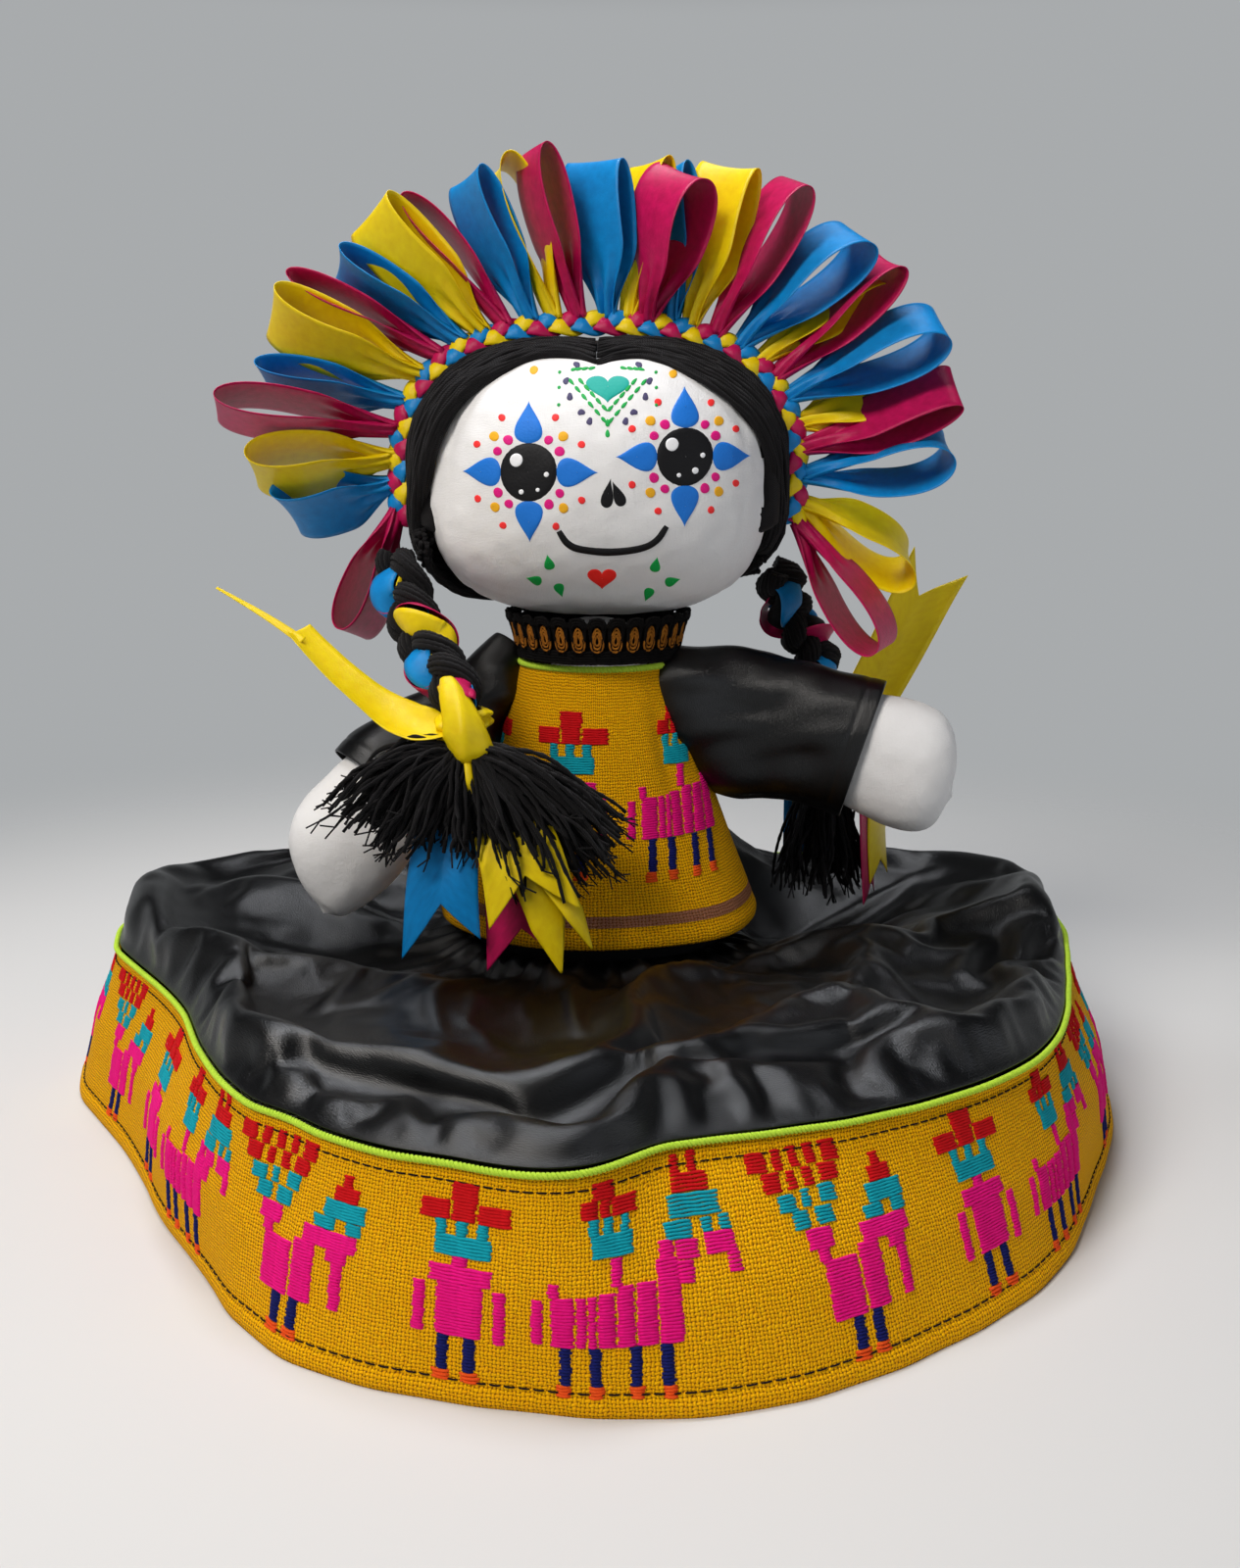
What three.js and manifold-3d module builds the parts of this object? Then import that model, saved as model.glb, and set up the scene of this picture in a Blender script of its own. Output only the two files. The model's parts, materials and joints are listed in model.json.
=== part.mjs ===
// A seated Day of the Dead rag doll: a stuffed cloth figure with a sugar-skull face, yarn hair in two braids,
// a crown of ribbon loops, a satin blouse with a woven front panel, and a full satin skirt with a woven border.
// Units are millimetres, +Z is up, the doll faces -Y, its own left is +X, and the origin is on the floor
// under the middle of the torso.
import * as THREE from "three";
import { mergeVertices } from "three/addons/utils/BufferGeometryUtils.js";
import Module from "manifold-3d";

const wasm = await Module();
wasm.setup();

// ---- Driving dimensions ----
const CLEAR = 0.4; // gap between pieces that touch
const CLOTH = 1.8; // thickness that stands for woven cloth
const RIBBON_THICK = 1.2;
const TAIL_WIDTH = 22; // the satin ribbon is 22 mm wide

const HEAD_Z = 198; // height of the middle of the head
const HEAD = new THREE.Vector3(54, 44, 41.5); // half width, half depth, half height
const HAIR = new THREE.Vector3(60, 50, 45);
const SQUARENESS = 2.6; // 2 would make the head an ellipse seen from in front; more fills out its corners
const HAIRLINE_Y = -13; // the hair stops this far in front of the middle of the head

const WAIST_Z = 55; // the skirt is gathered here
const RIM_Z = 54; // top edge of the skirt's woven border
const WAIST_RADIUS = 44;
const PANEL_TOP_Z = 141;
const HEM_Z = 58; // lower edge of the blouse and its panel
const BODICE_DEPTH = 0.88; // the bodice is this much as deep as it is wide
const TORSO_DEPTH = 0.8;
const SIDE_SEAM_Y = 5;

const SHOULDER = new THREE.Vector3(38, 2, 133); // the left one; the right one mirrors it
const SHOULDER_BALL = 13.6;
const ARM_DEPTH = 0.72; // an arm is this much as deep as it is tall
const LEFT_ARM_AIM = new THREE.Vector3(76, -17, -24);
const RIGHT_ARM_AIM = new THREE.Vector3(-50, -30, -65);

const CROWN_BRAID_RADIUS = 3;
const CROWN_Y = 4; // the crown stands in this plane
const CROWN_LOOPS = 28;
const CROWN_SPREAD = 101; // the outermost loops are rooted this many degrees from the top
const LOOP_LENGTH = 50;
const LOOP_HALF_WIDTH = 5.6;
const LOOP_DEPTH = 14;

// The foot of the skirt on the floor, anticlockwise from above and starting in front.
const FOOT = new THREE.CatmullRomCurve3(
  [
    [0, -199], [40, -194], [80, -176], [118, -138], [145, -90], [162, -40], [168, 15],
    [150, 66], [105, 94], [45, 101], [-20, 102], [-85, 98], [-140, 78], [-170, 35],
    [-174, -12], [-152, -52], [-131, -84], [-106, -130], [-80, -168], [-42, -190],
  ].map(([x, y]) => new THREE.Vector3(x, y, 0)),
  true,
);
const SKIRT_MIDDLE = new THREE.Vector3(-3, -48, 0);

// ---- Materials ----
const cloth = (color, roughness) => new THREE.MeshStandardMaterial({ color, roughness, metalness: 0 });
const MANTA = cloth("#e9e6e3", 0.9);
const BLACK_SATIN = cloth("#0b0b0d", 0.35);
const YELLOW_WOVEN = cloth("#f0a202", 0.85);
const LIME_TRIM = cloth("#a9dc3c", 0.8);
const YARN = cloth("#0d0c0d", 0.95);
const LACE = cloth("#15110d", 0.8);
const ELASTIC = cloth("#1a1a1c", 0.8);
const BLUE_RIBBON = cloth("#0f86c9", 0.4);
const MAGENTA_RIBBON = cloth("#b3123f", 0.4);
const YELLOW_RIBBON = cloth("#e8c800", 0.4);
const CROWN_COLOURS = [
  ["magenta", MAGENTA_RIBBON],
  ["blue", BLUE_RIBBON],
  ["yellow", YELLOW_RIBBON],
];

// ---- Helpers ----
const degrees = THREE.MathUtils.degToRad;
const doll = new THREE.Group();

function add(name, geometry, material, parent = doll) {
  const mesh = new THREE.Mesh(geometry, material);
  mesh.name = name;
  parent.add(mesh);
  return mesh;
}

// A profile of [radius, height] pairs turned about +Z. It starts and ends on the axis, or closes on itself.
function turned(profile, segments) {
  const points = profile.map(([radius, height]) => new THREE.Vector2(radius, height));
  return new THREE.LatheGeometry(points, segments).rotateX(Math.PI / 2);
}

// A closed wall profile: up the outside, then down the inside one wall thickness further in.
function wall(outside, thickness) {
  const inside = outside.map(([radius, height]) => [radius - thickness, height]).reverse();
  return [...outside, ...inside, outside[0]];
}

// A closed profile taken round the doll. pointAt(turn, across, height) places each profile point.
function sweptRound(profile, segments, pointAt) {
  const geometry = turned(profile, segments);
  const position = geometry.attributes.position;
  for (let i = 0; i <= segments; i++) {
    profile.forEach(([across, height], j) => {
      const p = pointAt((i % segments) / segments, across, height);
      position.setXYZ(i * profile.length + j, p.x, p.y, p.z);
    });
  }
  return geometry;
}

// How far a head-shaped outline reaches in a direction seen from in front, where a circle reaches 1.
function outlineReach(x, z) {
  const length = Math.hypot(x, z) || 1;
  const sum = Math.abs(x / length) ** SQUARENESS + Math.abs(z / length) ** SQUARENESS;
  return x === 0 && z === 0 ? 1 : sum ** (-1 / SQUARENESS);
}

// A ball with these half sizes whose outline from in front is a rounded oblong.
function headShape(half, widthSegments, heightSegments) {
  const geometry = new THREE.SphereGeometry(1, widthSegments, heightSegments);
  const position = geometry.attributes.position;
  for (let i = 0; i < position.count; i++) {
    const reach = outlineReach(position.getX(i), position.getZ(i));
    position.setX(i, position.getX(i) * reach);
    position.setZ(i, position.getZ(i) * reach);
  }
  return geometry.scale(half.x, half.y, half.z);
}

function along(curve, shape, steps) {
  return new THREE.ExtrudeGeometry(shape, { steps, extrudePath: curve, bevelEnabled: false });
}

function polygon(sides, radiusX, radiusY = radiusX) {
  const corners = Array.from({ length: sides }, (_, i) => {
    const a = (2 * Math.PI * i) / sides;
    return new THREE.Vector2(radiusX * Math.cos(a), radiusY * Math.sin(a));
  });
  return new THREE.Shape(corners);
}

function curveThrough(points) {
  return new THREE.CatmullRomCurve3(points.map((p) => new THREE.Vector3(...p)));
}

function toSolid(geometry) {
  const bare = geometry.clone().deleteAttribute("normal").deleteAttribute("uv");
  const merged = mergeVertices(bare, 1e-3);
  return new wasm.Manifold(
    new wasm.Mesh({
      numProp: 3,
      vertProperties: merged.attributes.position.array,
      triVerts: new Uint32Array(merged.index.array),
    }),
  );
}

function toGeometry(solid) {
  const mesh = solid.getMesh();
  const geometry = new THREE.BufferGeometry();
  geometry.setAttribute("position", new THREE.BufferAttribute(mesh.vertProperties, 3));
  geometry.setIndex(new THREE.BufferAttribute(mesh.triVerts, 1));
  return geometry;
}

function cut(geometry, ...cutters) {
  return toGeometry(cutters.reduce((left, cutter) => left.subtract(toSolid(cutter)), toSolid(geometry)));
}

// A box that holds everything on one side of the plane y = edge.
function halfSpace(edge, side) {
  const size = 600;
  return new THREE.BoxGeometry(size, size, size).translate(0, edge + (side * size) / 2, 0);
}

// ---- Stuffed body ----
function makeHead() {
  add("head", headShape(HEAD, 20, 12).translate(0, 0, HEAD_Z), MANTA);
}

function shoulderSockets(radius) {
  return [-1, 1].map((side) =>
    new THREE.SphereGeometry(radius, 12, 8).translate(side * SHOULDER.x, SHOULDER.y, SHOULDER.z),
  );
}

function makeTorso() {
  const profile = [
    [0, 0], [30, 0], [36, 9], [37.5, 30], [36, 60], [31, 88], [25, 112], [20, 132], [15, 143], [12, 149], [12, 155.5],
    [0, 155.5],
  ];
  const body = turned(profile, 20).scale(1, TORSO_DEPTH, 1);
  add("torso", cut(body, ...shoulderSockets(SHOULDER_BALL)), MANTA);
}

// The local frame of an arm: +Z runs down the arm from the shoulder and Y is its thinner way.
function armFrame(side, aim) {
  const down = aim.clone().normalize();
  const thin = new THREE.Vector3(0, 0, 1).cross(down).normalize();
  const tall = thin.clone().cross(down);
  const frame = new THREE.Group();
  frame.quaternion.setFromRotationMatrix(new THREE.Matrix4().makeBasis(tall, thin, down));
  frame.position.set(side * SHOULDER.x, SHOULDER.y, SHOULDER.z);
  doll.add(frame);
  return frame;
}

function makeArm(name, side, aim, cuffAt) {
  const frame = armFrame(side, aim);
  const arm = [[0, -5], [7, -3], [9.5, 6], [11, 20], [14.5, 38], [18, 54], [19.8, 66], [18.5, 78], [13, 86], [0, 89]];
  const sleeve = [[12.4, -1], [14, 12], [cuffAt * 0.2 + 8, cuffAt * 0.6], [cuffAt * 0.1 + 16.6, cuffAt]];
  add(`${name}_arm`, turned(arm, 14).scale(1, ARM_DEPTH, 1), MANTA, frame);
  add(`${name}_sleeve`, turned(wall(sleeve, CLOTH), 16).scale(1, ARM_DEPTH * 1.06, 1), BLACK_SATIN, frame);
}

function makeLeg(name, side) {
  const radius = 15;
  const leg = [[0, 0], [9, 1], [radius, 10], [radius * 0.85, 60], [radius * 0.9, 85], [radius, 104], [9, 113], [0, 115]];
  const hip = new THREE.Group();
  hip.position.set(side * 19, -32, radius);
  hip.rotation.order = "ZXY";
  hip.rotation.set(Math.PI / 2, 0, side * degrees(8));
  doll.add(hip);
  add(`${name}_leg`, turned(leg, 12), MANTA, hip);
}

// ---- Blouse ----
const BODICE = [[52, HEM_Z], [51, 64], [44, 82], [37, 101], [31, 119], [27, 132], [25, PANEL_TOP_Z]];

function makeBlouse() {
  const shell = turned(wall(BODICE, CLOTH), 28).scale(1, BODICE_DEPTH, 1);
  const armholes = shoulderSockets(SHOULDER_BALL + 0.2);
  add("front_panel", cut(shell, halfSpace(SIDE_SEAM_Y, 1), ...armholes), YELLOW_WOVEN);
  add("blouse_back", cut(shell, halfSpace(SIDE_SEAM_Y + CLEAR, -1), ...armholes), BLACK_SATIN);

  const trimLow = PANEL_TOP_Z + CLEAR;
  const trimTop = trimLow + 2;
  const trim = turned(wall([[25.6, trimLow], [25.6, trimTop]], 2.4), 28).scale(1, BODICE_DEPTH, 1);
  add("panel_trim", cut(trim, halfSpace(SIDE_SEAM_Y, 1)), LIME_TRIM);

  const collarLow = trimTop + CLEAR;
  const collar = wall([[25.6, collarLow], [27, collarLow + 8], [28.6, collarLow + 13.5]], CLOTH);
  add("lace_collar", turned(collar, 24).scale(1, BODICE_DEPTH, 1), LACE);
}

// ---- Skirt ----
// How far the border leans in from its foot to its rim; it leans most at the front left of the doll.
function rimInset(angle) {
  return 17 + 9 * Math.cos(2 * (angle + degrees(50)));
}

function footAt(turn) {
  return FOOT.getPointAt(turn);
}

// The point of the border that is a share up from the foot (0) to the rim (1), moved outwards by offset.
function borderAt(turn, share, offset) {
  const foot = footAt(turn);
  const outwards = foot.clone().sub(SKIRT_MIDDLE).normalize();
  const angle = Math.atan2(foot.y, foot.x);
  const belly = 3 * Math.sin(Math.PI * share);
  return foot.addScaledVector(outwards, offset + belly - rimInset(angle) * share);
}

// A hollow pressed into the satin at a place, by what rests on it.
function hollow(point, x, y, reach, depth) {
  return depth * Math.exp(-((point.x - x) ** 2 + (point.y - y) ** 2) / reach ** 2);
}

// The satin top from the waist (0) to the rim (1): puffed out most at the back.
function satinAt(turn, share, drop) {
  const rim = borderAt(turn, 1, -2.4);
  const angle = Math.atan2(rim.y, rim.x);
  const waist = new THREE.Vector3(Math.cos(angle), Math.sin(angle), 0).multiplyScalar(WAIST_RADIUS);
  const point = waist.lerp(rim, share);
  const puff = (12 + 9 * Math.sin(angle)) * Math.sin(Math.PI * share ** 1.6);
  const pressed = hollow(point, 80, 38, 41, 28) + hollow(point, -80, -30, 30, 9);
  point.z = WAIST_Z + (RIM_Z - WAIST_Z) * share + puff - pressed - drop;
  return point;
}

function makeSkirt() {
  const segments = 40;
  const shares = [0, 0.12, 0.28, 0.45, 0.62, 0.78, 0.9, 1];
  const under = shares.map((share) => [share, CLOTH]);
  const over = shares.map((share) => [share, 0]).reverse();
  add("skirt_satin", sweptRound([...under, ...over, under[0]], segments, satinAt), BLACK_SATIN);

  const borderTop = RIM_Z - 3.4;
  const border = sweptRound(wall([[0, 0], [0, 0.5], [0, 1]], CLOTH), segments, (turn, offset, share) =>
    borderAt(turn, share, offset).setZ(share * borderTop),
  );
  add("skirt_border", border, YELLOW_WOVEN);

  const ring = polygon(5, 1.3).getPoints().map((p) => [p.x, p.y]);
  const trim = sweptRound([...ring, ring[0]], segments, (turn, offset, height) =>
    borderAt(turn, 1, offset - 0.6).setZ(RIM_Z - 1.4 + height),
  );
  add("skirt_trim", trim, LIME_TRIM);

  const waistband = wall([[42, WAIST_Z - 8], [42, WAIST_Z]], 3);
  add("waist_elastic", turned(waistband, 24).scale(1, 0.9, 1), ELASTIC);
}

// ---- Hair ----
function makeHair() {
  const inside = headShape(HEAD.clone().addScalar(CLEAR), 20, 12);
  const nape = new THREE.CylinderGeometry(34, 34, 30, 20).rotateX(Math.PI / 2).translate(0, -4, -44);
  const wig = cut(headShape(HAIR, 20, 12), inside, halfSpace(HAIRLINE_Y, -1), nape);
  add("hair", wig.translate(0, 0, HEAD_Z), YARN);
}

// One braid down to its tie, the tie, and the tassel of loose yarn ends below it.
function makeBraid(name, route, radius, tassel) {
  const curve = curveThrough(route);
  const end = route.at(-1);
  const tieLow = end[2] - 8;
  add(`${name}_braid`, along(curve, polygon(9, radius), 10), YARN);
  const tie = turned([[0, tieLow], [8, tieLow], [9.5, tieLow + 4], [8, end[2] - CLEAR], [0, end[2] - CLEAR]], 10);
  add(`${name}_tie`, tie.translate(end[0], end[1], 0), YELLOW_RIBBON);

  const top = tieLow - CLEAR;
  const drop = top - tassel.bottom;
  const profile = [[0, 0], [0.6, 0.02], [1, 0.35], [0.95, 0.7], [0.28, 1], [0, 1]];
  const yarn = turned(profile.map(([r, h]) => [r * tassel.halfWidth, tassel.bottom + h * drop]), 14);
  yarn.scale(1, tassel.halfDepth / tassel.halfWidth, 1).translate(tassel.x, tassel.y, 0);
  add(`${name}_tassel`, yarn, YARN);
}

// A ribbon end with a swallowtail cut. It hangs from the group's origin, with its width along X.
function swallowtail(length) {
  const half = TAIL_WIDTH / 2;
  const outline = new THREE.Shape();
  outline.moveTo(-half * 0.6, 0);
  outline.lineTo(-half, -length);
  outline.lineTo(0, -length + half);
  outline.lineTo(half, -length);
  outline.lineTo(half * 0.6, 0);
  return new THREE.ExtrudeGeometry(outline, { depth: RIBBON_THICK, bevelEnabled: false }).rotateX(Math.PI / 2);
}

function makeTail(name, material, place, length, lean, yaw) {
  const tail = add(name, swallowtail(length), material);
  tail.position.set(...place);
  tail.rotation.order = "ZYX";
  tail.rotation.set(0, degrees(lean), degrees(yaw));
}

function makeBraids() {
  makeBraid(
    "right",
    [[-61.5, -14.5, 173.5], [-58, -23, 162], [-50, -39, 149], [-41, -51, 141], [-39.5, -53, 137], [-39.5, -53, 133]],
    9.5,
    { x: -31, y: -64, halfWidth: 39, halfDepth: 10.5, bottom: 84 },
  );
  makeTail("right_blue_tail", BLUE_RIBBON, [-46, -66, 83], 22, 0, 0);
  makeTail("right_magenta_tail", MAGENTA_RIBBON, [-24, -62, 83], 22, 0, 0);
  makeTail("right_yellow_tail", YELLOW_RIBBON, [-17, -68, 83], 18, -20, 0);

  makeBraid("left", [[59, 18, 168], [63, 22, 156], [72, 28, 142], [78, 31, 124], [78, 31, 108]], 9.5, {
    x: 77,
    y: 31,
    halfWidth: 15,
    halfDepth: 9.5,
    bottom: 52,
  });
  makeTail("left_blue_tail", BLUE_RIBBON, [77, 42, 92], 38, 0, 0);
  makeTail("left_magenta_tail", MAGENTA_RIBBON, [93.5, 31, 90], 38, 0, 82);
  makeTail("left_yellow_tail", YELLOW_RIBBON, [98, 36, 90], 36, 0, 78);

  const flatRibbon = polygon(4, RIBBON_THICK, TAIL_WIDTH * 0.45);
  const rightEnd = curveThrough([[-52, -56, 133], [-64, -58, 136], [-80, -54, 150], [-96, -49, 163], [-110, -46, 168]]);
  add("right_tie_end", along(rightEnd, flatRibbon, 8), YELLOW_RIBBON);
  makeTail("left_tie_end", YELLOW_RIBBON, [86, 42, 106], 64, -150, 0);
}

// ---- Crown ----
// The point of the crown at an angle from the top, clockwise seen from in front, this far outside the hair.
function crownPoint(angle, outside) {
  const reach = outlineReach(Math.sin(angle), Math.cos(angle));
  const x = (HAIR.x + outside) * Math.sin(angle) * reach;
  const z = HEAD_Z + (HAIR.z + outside) * Math.cos(angle) * reach;
  return new THREE.Vector3(x, CROWN_Y, z);
}

function makeCrownBraid() {
  const steps = 30;
  const middle = CROWN_BRAID_RADIUS + CLEAR;
  const points = Array.from({ length: steps + 1 }, (_, i) =>
    crownPoint(degrees(CROWN_SPREAD) * ((2 * i) / steps - 1), middle),
  );
  const curve = new THREE.CatmullRomCurve3(points);
  add("crown_braid", along(curve, polygon(7, CROWN_BRAID_RADIUS), steps + 6), MAGENTA_RIBBON);
}

// One ribbon loop: a teardrop with an opening, pinched at its root on the group's origin, standing along +Y.
function ribbonLoop(length) {
  const teardrop = (low, halfWidth, high) => {
    const path = new THREE.Path();
    path.moveTo(0.8, low);
    path.bezierCurveTo(halfWidth * 0.5, length * 0.4, halfWidth, length * 0.5, halfWidth, high - halfWidth);
    path.absarc(0, high - halfWidth, halfWidth, 0, Math.PI, false);
    path.bezierCurveTo(-halfWidth, length * 0.5, -halfWidth * 0.5, length * 0.4, -0.8, low);
    return path;
  };
  const points = teardrop(0, LOOP_HALF_WIDTH, length).getPoints(3);
  const outline = new THREE.Shape(points);
  outline.holes.push(teardrop(length * 0.5, LOOP_HALF_WIDTH - RIBBON_THICK, length - RIBBON_THICK));
  const settings = { depth: LOOP_DEPTH, bevelEnabled: false, curveSegments: 3 };
  return new THREE.ExtrudeGeometry(outline, settings).translate(0, 0, -LOOP_DEPTH / 2).rotateX(Math.PI / 2);
}

function makeCrownLoops() {
  for (let i = 0; i < CROWN_LOOPS; i++) {
    const fromTop = CROWN_SPREAD * ((2 * i) / (CROWN_LOOPS - 1) - 1);
    const low = Math.max(0, Math.abs(fromTop) - 86);
    const droop = 2.4 * Math.sign(fromTop) * low;
    const [colour, material] = CROWN_COLOURS[i % CROWN_COLOURS.length];
    const number = String(i + 1).padStart(2, "0");
    const loop = add(`crown_loop_${number}_${colour}`, ribbonLoop(LOOP_LENGTH), material);
    loop.position.copy(crownPoint(degrees(fromTop), 2 * CROWN_BRAID_RADIUS + 2 * CLEAR));
    loop.rotation.order = "YXZ";
    loop.rotation.set(degrees(-1.2 * low), degrees(fromTop * 1.12 + droop), 0);
  }
}

makeHead();
makeTorso();
makeArm("left", 1, LEFT_ARM_AIM, 52);
makeArm("right", -1, RIGHT_ARM_AIM, 46);
makeLeg("left", 1);
makeLeg("right", -1);
makeBlouse();
makeSkirt();
makeHair();
makeBraids();
makeCrownBraid();
makeCrownLoops();

export default doll;
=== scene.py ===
"""A seated Day of the Dead rag doll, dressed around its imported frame.

Lengths here are millimetres, turned into metres as each mesh is made. Places come from the frame's boxes and
surfaces, or are given in the frame's own coordinates. The doll faces -Y and its own left is +X.
"""

import json
import math

import bmesh
import bpy
import numpy as np
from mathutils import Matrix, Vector
from mathutils.bvhtree import BVHTree

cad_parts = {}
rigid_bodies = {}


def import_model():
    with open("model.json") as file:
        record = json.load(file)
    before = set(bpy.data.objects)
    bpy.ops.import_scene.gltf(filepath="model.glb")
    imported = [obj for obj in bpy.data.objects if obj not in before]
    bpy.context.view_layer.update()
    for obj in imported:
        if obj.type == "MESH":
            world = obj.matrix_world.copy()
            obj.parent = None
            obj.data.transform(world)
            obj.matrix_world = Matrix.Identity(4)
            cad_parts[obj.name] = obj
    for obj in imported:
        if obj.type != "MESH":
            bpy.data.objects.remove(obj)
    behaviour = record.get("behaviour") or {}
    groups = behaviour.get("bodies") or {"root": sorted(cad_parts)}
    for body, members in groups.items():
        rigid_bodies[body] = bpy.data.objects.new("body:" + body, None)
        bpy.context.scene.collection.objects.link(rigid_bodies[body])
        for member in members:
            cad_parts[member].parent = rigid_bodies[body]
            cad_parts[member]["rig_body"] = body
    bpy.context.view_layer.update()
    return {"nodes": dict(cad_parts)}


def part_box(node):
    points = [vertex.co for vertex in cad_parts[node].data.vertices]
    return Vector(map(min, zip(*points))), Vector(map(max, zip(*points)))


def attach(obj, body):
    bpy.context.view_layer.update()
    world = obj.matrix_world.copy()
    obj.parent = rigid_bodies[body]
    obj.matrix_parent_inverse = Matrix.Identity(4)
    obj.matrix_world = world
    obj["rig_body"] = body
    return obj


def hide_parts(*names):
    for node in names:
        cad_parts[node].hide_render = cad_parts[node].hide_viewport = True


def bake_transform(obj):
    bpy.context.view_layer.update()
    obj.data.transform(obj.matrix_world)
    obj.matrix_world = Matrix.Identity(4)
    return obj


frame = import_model()

MM = 0.001
TAU = 2 * math.pi


# ---------------------------------------------------------------- camera, floor and light

def linear(colour):
    """A #rrggbb colour as the linear numbers that shaders take."""
    parts = [int(colour[i : i + 2], 16) / 255 for i in (1, 3, 5)]
    return [p / 12.92 if p <= 0.04045 else ((p + 0.055) / 1.055) ** 2.4 for p in parts] + [1.0]


def add_camera():
    data = bpy.data.cameras.new("camera")
    data.lens = 36.74
    data.sensor_width = 36
    camera = bpy.data.objects.new("camera", data)
    camera.location = (0.007, -0.514, 0.214)
    camera.rotation_euler = (math.radians(77.5), 0, 0)
    bpy.context.scene.collection.objects.link(camera)
    bpy.context.scene.camera = camera


def add_softbox(name, place, aim, size, watts, colour="#ffffff"):
    data = bpy.data.lights.new(name, "AREA")
    data.shape = "RECTANGLE"
    data.size, data.size_y = size
    data.energy = watts
    data.color = linear(colour)[:3]
    light = bpy.data.objects.new(name, data)
    light.location = place
    light.rotation_euler = (Vector(aim) - Vector(place)).to_track_quat("-Z", "Y").to_euler()
    bpy.context.scene.collection.objects.link(light)


def add_floor():
    """A round pale floor that fades out into the pale surroundings."""
    rings, turns = np.array([0.0001, 150, 320, 700, 1200]), np.linspace(0, TAU, 96, endpoint=False)
    points = np.zeros((len(rings), len(turns), 3))
    points[..., 0] = rings[:, None] * np.cos(turns)
    points[..., 1] = rings[:, None] * np.sin(turns)
    floor = grid("floor", points, close_u=True)
    look = Finish("floor", "#d9d8d6", 0.9)
    place = look.node("TexCoord").outputs["Object"]
    reach = look.node("VectorMath", place, operation="LENGTH").outputs["Value"]
    fade = look.node("MapRange", reach, 0.24, 0.62, 1.0, 0.0, interpolation_type="SMOOTHSTEP").outputs[0]
    look.feed(look.shader.inputs["Alpha"], fade)
    wear(floor, look)


def add_surroundings():
    world = bpy.data.worlds.new("surroundings")
    bpy.context.scene.world = world
    world.use_nodes = True
    background = world.node_tree.nodes["Background"]
    background.inputs["Color"].default_value = linear("#c3c6c8")
    tree = world.node_tree
    height = tree.nodes.new("ShaderNodeSeparateXYZ")
    tree.links.new(tree.nodes.new("ShaderNodeTexCoord").outputs["Generated"], height.inputs[0])
    overhead = tree.nodes.new("ShaderNodeMapRange")
    overhead.interpolation_type = "SMOOTHSTEP"
    lowest, highest, strength_below, strength_above = 0.225, 0.3, 0.72, 0.07
    for index, value in enumerate((lowest, highest, strength_below, strength_above)):
        overhead.inputs[index + 1].default_value = value
    tree.links.new(height.outputs[2], overhead.inputs[0])
    tree.links.new(overhead.outputs[0], background.inputs["Strength"])


def add_lights():
    add_softbox("key", (-0.5, -0.65, 0.95), (0, 0, 0.12), (0.42, 0.42), 9.2, "#fffaf4")
    add_softbox("fill", (0.9, -0.6, 0.4), (0, 0, 0.12), (0.6, 0.6), 1.4, "#eef4ff")
    add_softbox("top", (-0.15, 0.12, 1.05), (0, -0.05, 0.05), (0.5, 0.3), 7.0, "#f6f9ff")


# ---------------------------------------------------------------- materials

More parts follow.
